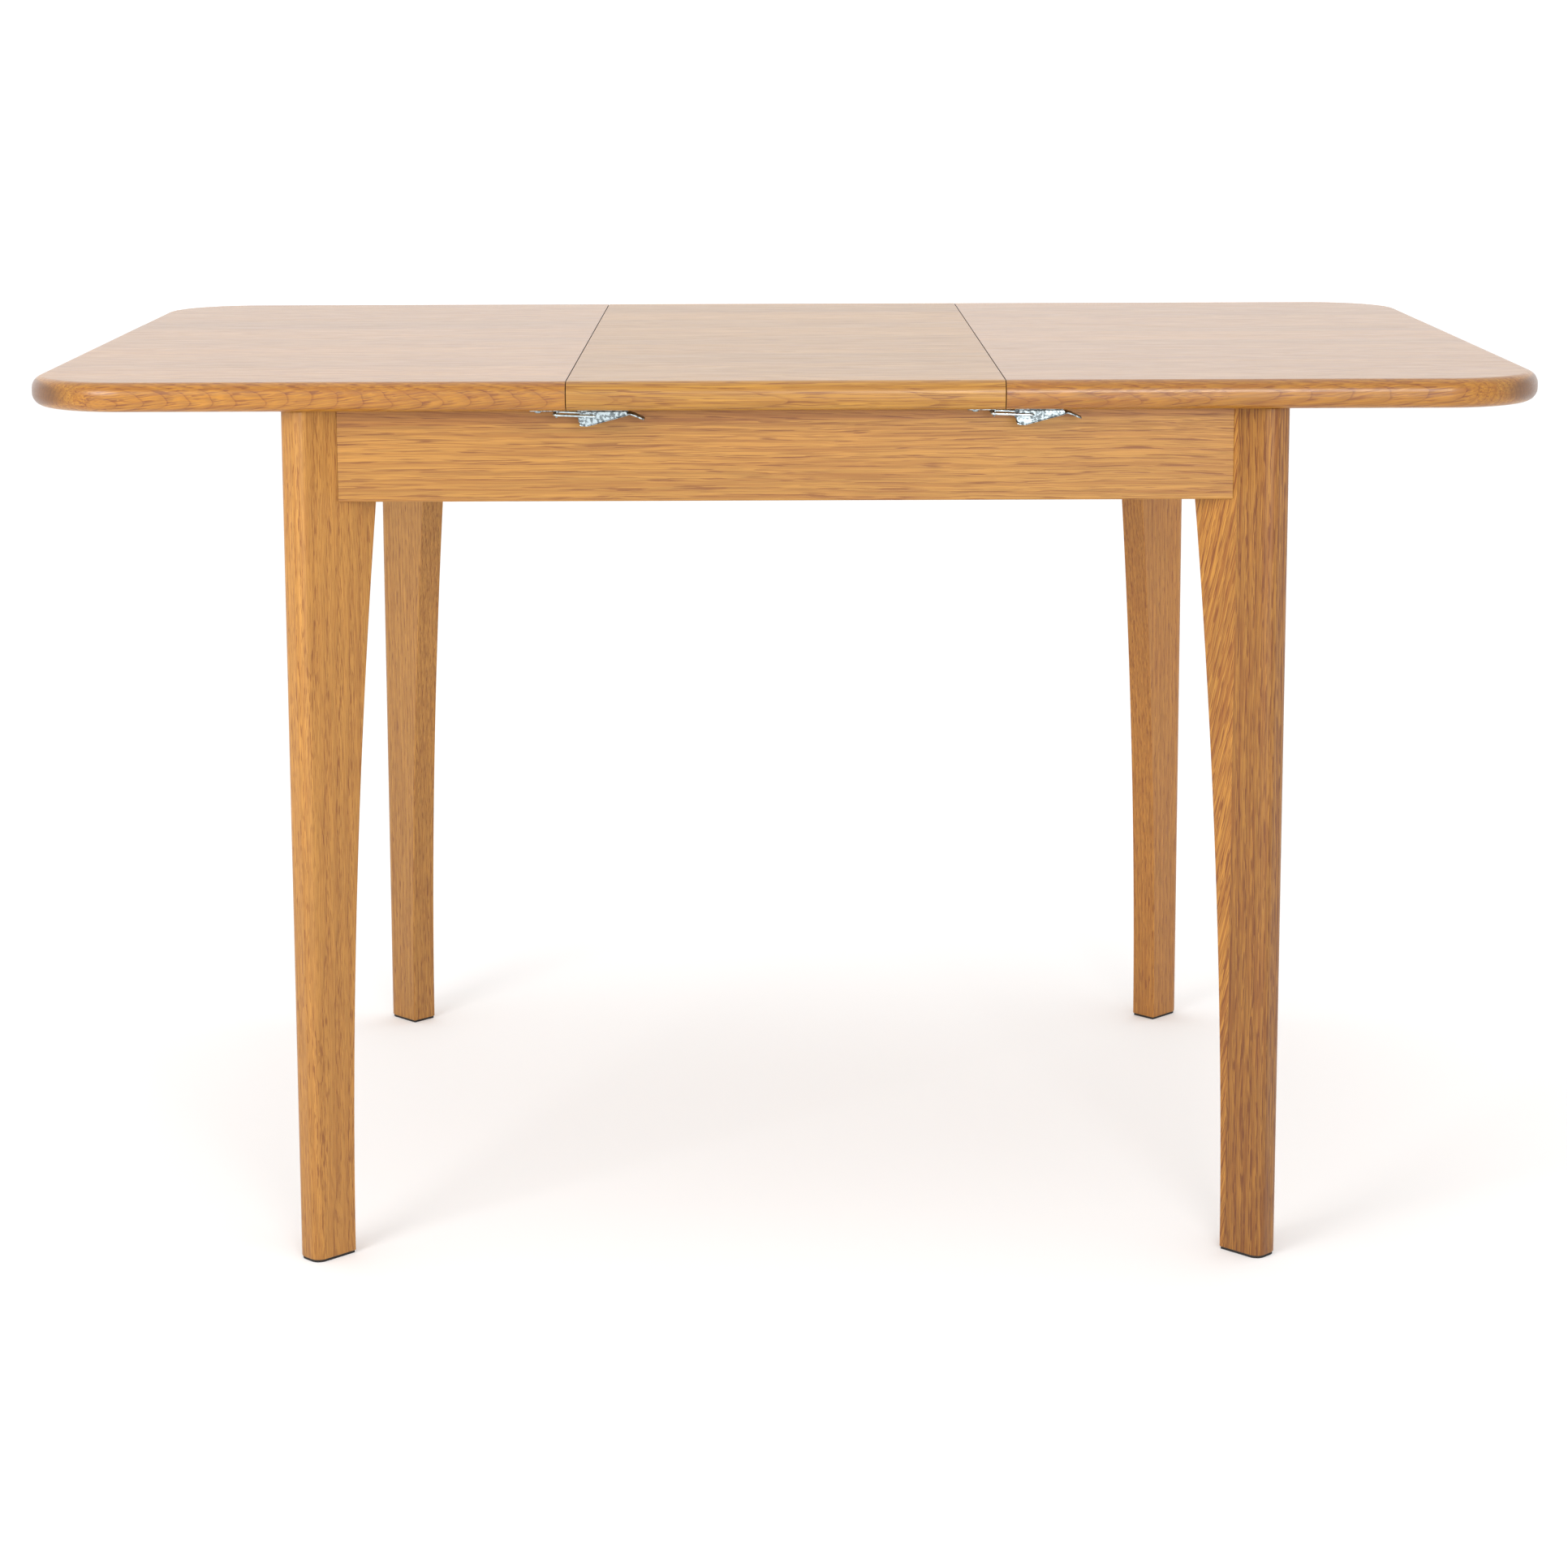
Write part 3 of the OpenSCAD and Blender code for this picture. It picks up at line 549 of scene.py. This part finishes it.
    # end grain
    if attribute:
        facing = add(tree, "ShaderNodeAttribute", attribute_name="end").outputs["Fac"]
        facing = ramp(tree, facing, ((0.45, 0.0), (0.72, 1.0)))
        small = add(tree, "ShaderNodeTexNoise", {"Vector": bent, "Scale": 900.0, "Detail": 2.0})
        grey = ramp(tree, small.outputs["Fac"], ((0.35, 0.72), (0.62, 1.0)), False)
        cut = mix(tree, "MIX", late, shade(base, 0.28, 0.22, 0.38), shade(base, 0.40, 0.35, 0.58))
        cut = mix(tree, "MULTIPLY", 0.8, cut, grey)
        look = mix(tree, "MIX", facing, look, cut)
    tree.links.new(look, shader.inputs["Base Color"])
    dull = ramp(tree, fibre, ((0.66, min(gloss + 0.12, 1)), (1.0, gloss)), False)
    tree.links.new(dull, shader.inputs["Roughness"])
    shader.inputs["Coat Weight"].default_value = coat
    shader.inputs["Coat Roughness"].default_value = 0.26
    bump = add(tree, "ShaderNodeBump", {"Height": pores, "Strength": 0.22, "Distance": 0.0002}, invert=True)
    tree.links.new(bump.outputs["Normal"], shader.inputs["Normal"])
    return material


def metal(name, base, rough=0.26, patch=260.0, dark=0.62):
    """Plated steel: cloudy crystals that shift tone and gloss."""
    material, tree, shader = new_material(name)
    source = add(tree, "ShaderNodeTexCoord").outputs["Object"]
    cloud = add(tree, "ShaderNodeTexNoise",
                {"Vector": source, "Scale": patch, "Detail": 3.0, "Roughness": 0.6})
    crystal = add(tree, "ShaderNodeTexVoronoi", {"Vector": source, "Scale": patch * 2.2})
    level = ramp(tree, cloud.outputs["Fac"], ((0.42, dark), (0.56, 1.0)))
    grey = ramp(tree, crystal.outputs["Distance"], ((0.1, 1.0), (0.8, 0.80)), False)
    look = mix(tree, "MULTIPLY", 1.0, level, tuple(base) + (1,))
    look = mix(tree, "MULTIPLY", 0.7, look, grey)
    tree.links.new(look, shader.inputs["Base Color"])
    shader.inputs["Metallic"].default_value = 1.0
    painted_shade_and_gloss = ramp(tree, cloud.outputs["Fac"], ((0.3, rough + 0.12), (0.7, rough)), False)
    tree.links.new(painted_shade_and_gloss, shader.inputs["Roughness"])
    bump = add(tree, "ShaderNodeBump",
               {"Height": cloud.outputs["Fac"], "Strength": 0.25, "Distance": 0.0002})
    tree.links.new(bump.outputs["Normal"], shader.inputs["Normal"])
    return material


def felt(name, base):
    """Pressed felt: fine fibres over a cloudy dark ground."""
    material, tree, shader = new_material(name)
    source = add(tree, "ShaderNodeTexCoord").outputs["Object"]
    hair = add(tree, "ShaderNodeTexNoise", {"Vector": source, "Scale": 1600.0, "Detail": 3.0})
    level = ramp(tree, hair.outputs["Fac"], ((0.3, 0.55), (0.7, 1.0)), False)
    look = mix(tree, "MULTIPLY", 1.0, level, tuple(base) + (1,))
    tree.links.new(look, shader.inputs["Base Color"])
    shader.inputs["Roughness"].default_value = 0.95
    bump = add(tree, "ShaderNodeBump", {"Height": hair.outputs["Fac"], "Strength": 0.5, "Distance": 0.0003})
    tree.links.new(bump.outputs["Normal"], shader.inputs["Normal"])
    return material


# Operators


def settings(context):
    """The table's settings of this scene."""
    return context.scene.table_settings


class TABLE_OT_tops(bpy.types.Operator):
    """Build the two sliding half tops and the loose leaf"""

    bl_idname = "table.tops"
    bl_label = "Tops and leaf"

    def execute(self, context):
        s, c = settings(context).sizes, settings(context).colours
        # a hair of air keeps the panels clear of the other half's sliders
        low, high, seam, end = UNDER + 0.05 * MM, TOP_HIGH.z, TOP_HIGH.x, -HALF_LOW.x
        half = TOP_HIGH.y
        for side, word in ((-1, "left"), (1, "right")):
            near = seam + s.seam_gap
            corners = np.array([[near, -half], [end, -half], [end, half], [near, half]])
            radii = np.array([0.3 * MM, s.corner_round, s.corner_round, 0.3 * MM])
            rounds = np.array([s.edge_round, s.edge_round, s.edge_round, s.seam_arris])
            part = slab(corners, radii, low, high, rounds, 12, 14, axes=((side, 0, 0), (0, 1, 0), (0, 0, 1)))
            shift = (1.1 if side < 0 else 5.2, 2.04 + side * 0.3, 0.3)
            oak = wood(f"oak_{word}_half_top", c.top, shift=shift,
                       stave=0.092, swing=(0, 0.10, 0.30), ring=0.0036, pith=(0.03, 0.035), tick=(32, 900),
                       figure=0.9, gloss=0.30, coat=0.38, wander=0.012,
                       lamina=(half - 0.009, 0.0, (0.96, 0.90, 0.62), (0, 0.10, 0.05)))
            piece(f"{word}_half_top", [part], oak, f"{word}_top", [f"{word}_top_panel"],
                  start=(0, 0, low))
        near = seam - s.seam_gap
        corners = np.array([[-near, -half], [near, -half], [near, half], [-near, half]])
        rounds = np.array([s.edge_round, s.seam_arris, s.edge_round, s.seam_arris])
        part = slab(corners, np.full(4, 0.3 * MM), low, high, rounds, 12, 4)
        oak = wood("oak_loose_leaf", c.leaf, shift=(9.4, 1.3, 0.1), stave=0.088, swing=(0, 0.08, 0.20),
                   ring=0.0050, pith=(0.012, 0.05), tick=(30, 850), figure=0.60, gloss=0.31, coat=0.26,
                   wander=0.010)
        piece("loose_leaf", [part], oak, "leaf", ["leaf_panel"], start=(0, 0, low))
        return {"FINISHED"}


# of each leg: place in the wood, tint, distance of the pith, figure, pore size, tilt, glue line
LEG_LOOKS = {
    "front_left": ((0.7, 0.02, 0.3), (0.98, 0.97, 1.12), (0.035, 0.05), 0.55, (80, 1400), 0.012, None),
    "front_right": ((2.9, 0.30, 0.8), (0.74, 0.68, 0.58), (0.020, 0.022), 1.25, (52, 950), 0.012,
                    (0.036, 0.0, (1.30, 1.34, 1.40), (0, 0, 0.24))),
    "rear_left": ((4.4, 0.60, 1.1), (0.93, 0.94, 1.10), (0.050, 0.09), 0.70, (70, 1300), 0.050, None),
    "rear_right": ((6.3, 0.90, 1.9), (1.04, 0.95, 0.86), (0.030, 0.07), 0.70, (75, 1300), 0.030, None),
}


def leg_rings(s, low, high, knee):
    """Rings of a leg in its own frame: a rounded section whose inner edge follows the taper curve."""
    near = 1.0 * MM * (1 - np.cos(np.linspace(0, math.pi / 2, 5)))
    height = np.concatenate([[0], near, np.linspace(0.004, knee - low, 40), [high - low - 0.003],
                             high - low - near[::-1], [high - low]])
    end = np.minimum(np.minimum(height, high - low - height), 1.0 * MM)
    inset = 1.0 * MM - np.sqrt(np.maximum((1.0 * MM) ** 2 - (1.0 * MM - end) ** 2, 0))
    inset[0] += HOLD
    inset[-1] += HOLD
    share = np.minimum((height + low) / knee, 1.0)
    wide = s.leg_foot + (s.leg_head - s.leg_foot) * share ** s.leg_curve
    t = np.full_like(wide, s.leg_thickness / 2)
    zero = np.zeros_like(wide)
    corners = np.stack([np.stack([zero, -t], -1), np.stack([wide, -t], -1),
                        np.stack([wide, t], -1), np.stack([zero, t], -1)], -2)
    radii = np.array([s.leg_round, s.arris, s.arris, s.leg_round])
    return outline(corners, radii, np.repeat(inset[:, None], 4, 1), 9), height + low


class TABLE_OT_legs(bpy.types.Operator):
    """Build the four tapered legs and give their foot pads a felt material"""

    bl_idname = "table.legs"
    bl_label = "Legs"

    def execute(self, context):
        s, c = settings(context).sizes, settings(context).colours
        # outermost point of the rounded section gives the middle of the outer edge
        loss = s.leg_round * (math.sqrt(2) - 1) - s.leg_thickness / math.sqrt(8)
        rings, heights = leg_rings(s, LEG_LOW.z, LEG_HIGH.z, APRON_LOW.z)
        for name, (shift, tint, pith, figure, tick, lean, glue) in LEG_LOOKS.items():
            sy = -1 if name.startswith("front") else 1
            sx = -1 if name.endswith("left") else 1
            origin = (sx * (-LEG_LOW.x + loss), sy * (-LEG_LOW.y + loss), 0)
            root = math.sqrt(0.5)
            u = (-sx * root, -sy * root, 0)
            v = (sx * root, -sy * root, 0)
            part = skin(place(rings, heights, origin, (u, v, (0, 0, 1))))
            base = [a * b for a, b in zip(c.leg, tint)]
            # foot is a painted shade: each leg is tinted darker towards the floor, where less light reaches
            # it
            oak = wood(f"oak_{name}_leg", base, shift=shift, pith=pith, tilt=(0, lean, lean), ring=0.0036,
                       figure=figure, ticks=1.0 if figure > 1 else 0.85, tick=tick, gloss=0.36,
                       wander=0.006, lamina=glue, sparse=0.48 if figure > 1 else 0.54,
                       foot=(0.82, 0.78, 0.70))
            piece(f"{name}_leg_board", [part], oak, "frame", [f"{name}_leg"],
                  fibres=((0, 0, 1), u), start=origin)
        dress(["foot_pads"], felt("felt_foot_pads", c.pad))
        return {"FINISHED"}


class TABLE_OT_aprons(bpy.types.Operator):
    """Build the four aprons"""

    bl_idname = "table.aprons"
    bl_label = "Aprons"

    def execute(self, context):
        s, c = settings(context).sizes, settings(context).colours
        low, high = APRON_LOW.z, APRON_HIGH.z
        thick = APRON_HIGH.y - APRON_LOW.y
        looks = {"front": (2.2, (0.02, 0.05)), "rear": (6.1, (0.03, 0.06)),
                 "left": (3.3, (0.02, 0.04)), "right": (8.8, (0.03, 0.05))}
        for word, (at, pith) in looks.items():
            box_low, box_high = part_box(f"{word}_apron")
            if word in ("front", "rear"):
                side = -1 if word == "front" else 1
                out, wide = -APRON_LOW.y, max(box_high.x, -box_low.x)
                axes = ((1, 0, 0), (0, side, 0), (0, 0, 1))
                fibres = ((1, 0, 0), (0, 0, 1))
            else:
                side = -1 if word == "left" else 1
                out, wide = -END_LOW.x, max(box_high.y, -box_low.y)
                axes = ((0, 1, 0), (side, 0, 0), (0, 0, 1))
                fibres = ((0, 1, 0), (0, 0, 1))
            inner = wide - thick
            corners = np.array([[-inner, out - thick], [inner, out - thick], [wide, out], [-wide, out]])
            glue = None
            if word == "front":
                glue = (high - low - 0.0115, -0.0106, (0.90, 0.80, 0.76), (0, 0, 0.02))
            part = slab(corners, np.full(4, 0.3 * MM), low, high, s.arris, 5, 2, axes=axes)
            oak = wood(f"oak_{word}_apron", c.apron, shift=(at, 0.4, 0.2), pith=pith, tilt=(0, 0.022, 0.030),
                       ring=0.0048, figure=0.75, ticks=0.85, tick=(26, 950), gloss=0.38, wander=0.009,
                       lamina=glue)
            piece(f"{word}_apron_board", [part], oak, "frame", [f"{word}_apron"], fibres=fibres,
                  start=(0, 0, low))
        return {"FINISHED"}


class TABLE_OT_underframe(bpy.types.Operator):
    """Build the corner blocks and cross rails, and finish the sliders, guide rails, biscuits and fixings"""

    bl_idname = "table.underframe"
    bl_label = "Underframe"

    def execute(self, context):
        s, c = settings(context).sizes, settings(context).colours
        root = math.sqrt(0.5)
        for i, name in enumerate(("front_left", "front_right", "rear_left", "rear_right")):
            low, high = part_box(f"{name}_block")
            sy = -1 if name.startswith("front") else 1
            sx = -1 if name.endswith("left") else 1
            far = high.x - low.x
            near = far - s.block * math.sqrt(2)
            corners = np.array([[near, 0], [far, 0], [0, far], [0, near]])
            axes = ((-sx, 0, 0), (0, -sy, 0), (0, 0, 1))
            start = (low.x if sx < 0 else high.x, low.y if sy < 0 else high.y, 0)
            part = slab(corners, np.full(4, 0.5 * MM), low.z, high.z, 0.8 * MM, 4, 2, origin=start,
                        axes=axes)
            oak = wood(f"oak_{name}_block", c.hidden, shift=(i * 1.7, i * 0.3, 0.2), coat=0.0, gloss=0.6)
            piece(f"{name}_corner_block", [part], oak, "frame", [f"{name}_block"],
                  fibres=((sx * root, -sy * root, 0), (0, 0, 1)))
        for i, word in enumerate(("left", "right")):
            low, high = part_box(f"{word}_cross_rail")
            inner = -APRON_LOW.y - (APRON_HIGH.y - APRON_LOW.y)
            corners = np.array([[low.x, low.z], [high.x, low.z], [high.x, high.z], [low.x, high.z]])
            part = slab(corners, np.full(4, 0.8 * MM), -inner, inner, 0.5 * MM, 3, 3,
                        axes=((1, 0, 0), (0, 0, 1), (0, 1, 0)))
            oak = wood(f"oak_{word}_cross_rail", c.hidden, shift=(i * 2.1 + 0.4, 0.5, 0.7), coat=0.0,
                       gloss=0.6)
            piece(f"{word}_cross_bar", [part], oak, "frame", [f"{word}_cross_rail"],
                  fibres=((0, 1, 0), (0, 0, 1)))
        runner = wood("runner_wood", c.runner, attribute=False, ring=0.0040, figure=0.35, ticks=0.4,
                      coat=0.0, gloss=0.50, pith=(0.05, -0.60))
        dress([f"{side}_{row}_slider" for side in ("left", "right") for row in ("front", "rear")], runner)
        dress(["front_guide_rail", "rear_guide_rail"], runner)
        dress(["joint_biscuits"], wood("beech_biscuits", c.hidden, attribute=False, coat=0.0, gloss=0.7))
        steel = metal("steel_fixings", c.steel, 0.32, 180.0, 0.7)
        dress(["hanger_bolts", "bolt_nuts", "rail_screws", "left_slider_screws", "right_slider_screws"],
              steel)
        return {"FINISHED"}


# Latch, in millimetres: x from the joint towards the base, z up from the underside of the top.
# Shapes of the lever are measured from its pivot.
PIVOT = (14.0, -7.0)
CRANK_REACH = 9.0
CRANK_ANGLE = 11.6
HOOK = (-10.5, -3.8)
LEVER_IN = 10.0
LEVER_OUT = 11.2
PLATE = 1.5
EAR = 1.4
SCREW_RADIUS = 2.8
SCREW_RISE = 1.8
SCREW_SIDE = 5.0
KEEPER_SCREW_X = -23.5
BASE_SCREW_X = 35.0
SIDE_PLATE = ((-4.8, 0.4), (-4.4, -2.9), (-2.6, -4.4), (3.0, -6.3), (34.0, 2.0), (34.6, 4.0),
              (33.6, 5.4), (2.0, 5.4), (-2.0, 4.8), (-3.9, 3.4))
SOLE_LINE = ((-3.9, -4.9), (-2.4, -5.75), (2.6, -5.95), (34.0, 2.5), (36.2, 3.3), (40.5, 1.9),
             (48.2, -1.6))
SOLE_BENDS = (1.4, 2.2, 3.0, 2.6, 4.0)
SOLE_PLACES = (0.0, 0.02, 0.72, 0.78, 0.97, 1.0)
SOLE_HALF_WIDTHS = (10.6, 11.2, 11.2, 9.4, 8.2, 6.4)
KEEPER_LINE = ((-30.0, -0.75), (-7.3, -0.75), (-8.6, -6.7))
BASE_LINE = ((8.5, -0.75), (20.0, -0.75), (46.0, -0.75))
EAR_SHAPE = ((-3.0, -1.6), (-1.8, -3.0), (1.8, -3.0), (3.0, -1.6), (3.0, 6.2), (-3.0, 6.2))
PIN_SHAPE = ((0.8, -11.35), (1.3, -11.33), (1.5, -11.2), (1.5, 11.2), (1.3, 11.33), (0.8, 11.35))


class TABLE_OT_latches(bpy.types.Operator):
    """Build the four draw latches: lever, wire bail, keeper, base, pin and screws"""

    bl_idname = "table.latches"
    bl_label = "Draw latches"

    def execute(self, context):
        s, c = settings(context).sizes, settings(context).colours
        zinc = metal("zinc_latch", c.zinc, 0.30, 420.0, 0.30)
        bright = metal("zinc_wire", [v * 1.3 for v in c.zinc], 0.12, 160.0, 0.70)
        dull = metal("zinc_screws", [v * 0.96 for v in c.zinc], 0.36, 420.0, 0.72)
        screws = {"left": [], "leaf": [], "right": []}
        pins = {-1: [], 1: []}
        lever = np.array(SIDE_PLATE) * MM
        sole_line = np.array(SOLE_LINE) * MM
        sole_widths = (SOLE_PLACES, np.array(SOLE_HALF_WIDTHS) * MM)
        for joint, side in ((-1, "left"), (1, "right")):
            for row, word in ((-1, "front"), (1, "rear")):
                at = np.array([joint * TOP_HIGH.x, row * LATCH_Y, UNDER])
                axes = ((1, 0, 0), (0, 0, 1), (0, 1, 0))
                turn = at + np.array([PIVOT[0], 0, PIVOT[1]]) * MM
                plates = [slab(lever, np.full(len(lever), 1.2 * MM), min(a, b), max(a, b), 0.3 * MM, 4, 3,
                               origin=turn, axes=axes)
                          for a, b in ((LEVER_IN * MM, LEVER_OUT * MM), (-LEVER_OUT * MM, -LEVER_IN * MM))]
                sole = strip(sole_line, np.array(SOLE_BENDS) * MM, 1.2 * MM, sole_widths, turn)
                piece(f"{side}_{word}_lever_shell", plates + [sole], zinc, f"lever_{side}_{word}",
                      [f"{side}_{word}_lever"], crease=50)
                hook = np.array(HOOK) * MM
                low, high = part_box(f"{side}_{word}_bail")
                angle = math.radians(CRANK_ANGLE)
                reach = CRANK_REACH * MM * np.array([math.cos(angle), math.sin(angle)])
                crank = np.array(PIVOT) * MM + reach
                run = crank - hook
                size = float(np.hypot(*run))
                way = np.array([run[0], 0, run[1]]) / size
                r = s.wire / 2
                y = (high.y - low.y) / 2 - r
                start = at + np.array([hook[0], 0, hook[1]])
                path = [(size, LEVER_IN * MM - 0.3 * MM), (size, y), (0, y), (0, -y), (size, -y),
                        (size, -LEVER_IN * MM + 0.3 * MM)]
                wire = tube(path, np.array([0.65, 1.2, 1.2, 0.65]) * s.wire, r, start,
                            (way, (0, 1, 0), np.cross(way, (0, 1, 0))))
                piece(f"{side}_{word}_bail_wire", [wire], bright, f"bail_{side}_{word}",
                      [f"{side}_{word}_bail"], crease=60)
                # keeper: a plate whose end is bent down into a leaning lip
                half = (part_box("leaf_front_base")[1].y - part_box("leaf_front_base")[0].y) / 2
                keeper = strip(np.array(KEEPER_LINE) * MM, np.array([1.0]) * MM, PLATE * MM,
                               ((0.0, 0.03, 0.97, 1.0), np.array([0.93, 1, 1, 0.9]) * half), at)
                owner, node = (("left_top", "left") if joint < 0 else ("leaf", "leaf"))
                piece(f"{node}_{word}_keeper_plate", [keeper], zinc, owner,
                      [f"{node}_{word}_keeper"], crease=50)
                # base: a plate with two ears that carry the pin
                plate = strip(np.array(BASE_LINE) * MM, np.array([1.0]) * MM, PLATE * MM,
                              ((0.0, 0.03, 0.97, 1.0), np.array([0.95, 1, 1, 0.9]) * half), at)
                ear = np.array(EAR_SHAPE) * MM
                ears = [slab(ear, np.full(6, 1.2 * MM), min(a, b), max(a, b), 0.3 * MM, 3, 3,
                             origin=turn, axes=axes)
                        for a, b in ((half - EAR * MM, half), (-half, EAR * MM - half))]
                owner, node = (("leaf", "leaf") if joint < 0 else ("right_top", "right"))
                piece(f"{node}_{word}_base_plate", [plate] + ears, zinc, owner,
                      [f"{node}_{word}_base"], crease=50)
                pins[joint].append(lathe(np.array(PIN_SHAPE) * MM, turn, (0, 1, 0), 28))
                for y_screw in (-SCREW_SIDE, SCREW_SIDE):
                    for owner, x in (("left" if joint < 0 else "leaf", KEEPER_SCREW_X),
                                     ("leaf" if joint < 0 else "right", BASE_SCREW_X)):
                        spot = at + np.array([x, y_screw, -PLATE]) * MM
                        screws[owner].append(screw_head(spot, SCREW_RADIUS * MM, SCREW_RISE * MM))
        piece("leaf_pivot_pins", pins[-1], bright, "leaf", ["leaf_latch_pins"], crease=50)
        piece("right_pivot_pins", pins[1], bright, "right_top", ["right_latch_pins"],
              crease=50)
        for word, node, body in (("left", "left_keeper_screws", "left_top"),
                                 ("leaf", "leaf_latch_screws", "leaf"),
                                 ("right", "right_latch_screws", "right_top")):
            piece(f"{word}_screw_heads", screws[word], dull, body, [node], crease=35)
        return {"FINISHED"}


class TABLE_OT_stage(bpy.types.Operator):
    """Set up the pale floor, the soft light and the camera"""

    bl_idname = "table.stage"
    bl_label = "Stage and camera"

    def execute(self, context):
        st, c = settings(context).stage, settings(context).colours
        scene = context.scene
        mesh = bpy.data.meshes.new("studio_floor")
        far = 14.0
        mesh.from_pydata([(-far, -far, 0), (far, -far, 0), (far, far, 0), (-far, far, 0)], [],
                         [(0, 1, 2, 3)])
        wall = bpy.data.meshes.new("studio_backdrop")
        wall.from_pydata([(-far, 9, -0.5), (far, 9, -0.5), (far, 9, 9), (-far, 9, 9)], [], [(0, 1, 2, 3)])
        material, tree, shader = new_material("white_backdrop")
        source = add(tree, "ShaderNodeTexCoord").outputs["Object"]
        cloud = add(tree, "ShaderNodeTexNoise", {"Vector": source, "Scale": 0.5, "Detail": 2.0})
        level = ramp(tree, cloud.outputs["Fac"], ((0.3, 0.99), (0.7, 1.0)), False)
        tree.links.new(level, shader.inputs["Emission Color"])
        shader.inputs["Emission Strength"].default_value = 1.30
        shader.inputs["Base Color"].default_value = (0, 0, 0, 1)
        shader.inputs["Specular IOR Level"].default_value = 0.0
        wall.materials.append(material)
        backdrop = bpy.data.objects.new("studio_backdrop", wall)
        scene.collection.objects.link(backdrop)
        material, tree, shader = new_material("pale_floor")
        source = add(tree, "ShaderNodeTexCoord").outputs["Object"]
        cloud = add(tree, "ShaderNodeTexNoise", {"Vector": source, "Scale": 0.8, "Detail": 2.0})
        level = ramp(tree, cloud.outputs["Fac"], ((0.3, 0.985), (0.7, 1.0)), False)
        look = mix(tree, "MULTIPLY", 1.0, level, tuple(c.floor) + (1,))
        tree.links.new(look, shader.inputs["Base Color"])
        shader.inputs["Roughness"].default_value = 0.9
        shader.inputs["Specular IOR Level"].default_value = 0.1
        shader.inputs["Emission Color"].default_value = (1, 1, 1, 1)
        shader.inputs["Emission Strength"].default_value = 0.12
        mesh.materials.append(material)
        floor = bpy.data.objects.new("studio_floor", mesh)
        scene.collection.objects.link(floor)
        world = bpy.data.worlds.new("white_studio")
        world.use_nodes = True
        back = world.node_tree.nodes["Background"]
        back.inputs["Color"].default_value = (1, 1, 1, 1)
        back.inputs["Strength"].default_value = st.ambient
        scene.world = world
        for name, power, size, place_at, aim in (
                ("key_light", st.key, 1.1, (-1.7, -2.3, 1.5), (-0.1, 0, 0.70)),
                ("front_light", st.front, 1.0, (0.7, -3.7, 1.3), (0.1, 0, 0.8)),
                ("top_light", st.fill, 3.5, (0.2, 0.4, 3.6), (0, 0, 0.7))):
            lamp = bpy.data.lights.new(name, "AREA")
            lamp.energy = power
            lamp.size = size
            item = bpy.data.objects.new(name, lamp)
            item.location = place_at
            item.rotation_euler = (Vector(aim) - Vector(place_at)).to_track_quat("-Z", "Y").to_euler()
            scene.collection.objects.link(item)
        data = bpy.data.cameras.new("camera")
        data.lens = 80.54
        data.sensor_width = 36.0
        data.shift_y = -0.13
        data.clip_start = 0.1
        data.clip_end = 60.0
        camera = bpy.data.objects.new("camera", data)
        yaw, pitch, roll = 0.0043, 0.1570, -0.0029
        ahead = Vector((math.sin(yaw) * math.cos(pitch), math.cos(yaw) * math.cos(pitch), -math.sin(pitch)))
        level = Vector((math.cos(yaw), -math.sin(yaw), 0))
        rise = level.cross(ahead)
        right = level * math.cos(roll) + rise * math.sin(roll)
        up = rise * math.cos(roll) - level * math.sin(roll)
        turn = Matrix((right, up, -ahead)).transposed().to_4x4()
        camera.matrix_world = Matrix.Translation((-0.0139, -3.1872, 1.0208)) @ turn
        scene.collection.objects.link(camera)
        scene.camera = camera
        scene.view_settings.view_transform = "Standard"
        scene.view_settings.look = "None"
        return {"FINISHED"}


class TABLE_PT_panel(bpy.types.Panel):
    """Lists the builders of the table"""

    bl_idname = "TABLE_PT_panel"
    bl_label = "Extending table"
    bl_space_type = "VIEW_3D"
    bl_region_type = "UI"
    bl_category = "Table"

    def draw(self, context):
        for operator in OPERATORS:
            self.layout.operator(operator.bl_idname)


OPERATORS = (TABLE_OT_tops, TABLE_OT_legs, TABLE_OT_aprons, TABLE_OT_underframe, TABLE_OT_latches,
             TABLE_OT_stage)
CLASSES = (TableSizes, TableColours, TableStage, TableSettings) + OPERATORS + (TABLE_PT_panel,)


def register():
    """Registers the classes and the settings of the scene."""
    for item in CLASSES:
        bpy.utils.register_class(item)
    bpy.types.Scene.table_settings = PointerProperty(type=TableSettings)


def unregister():
    """Takes the settings and the classes away again."""
    del bpy.types.Scene.table_settings
    for item in reversed(CLASSES):
        bpy.utils.unregister_class(item)


def main():
    register()
    bpy.ops.table.tops()
    bpy.ops.table.legs()
    bpy.ops.table.aprons()
    bpy.ops.table.underframe()
    bpy.ops.table.latches()
    bpy.ops.table.stage()


if __name__ == "__main__":
    main()
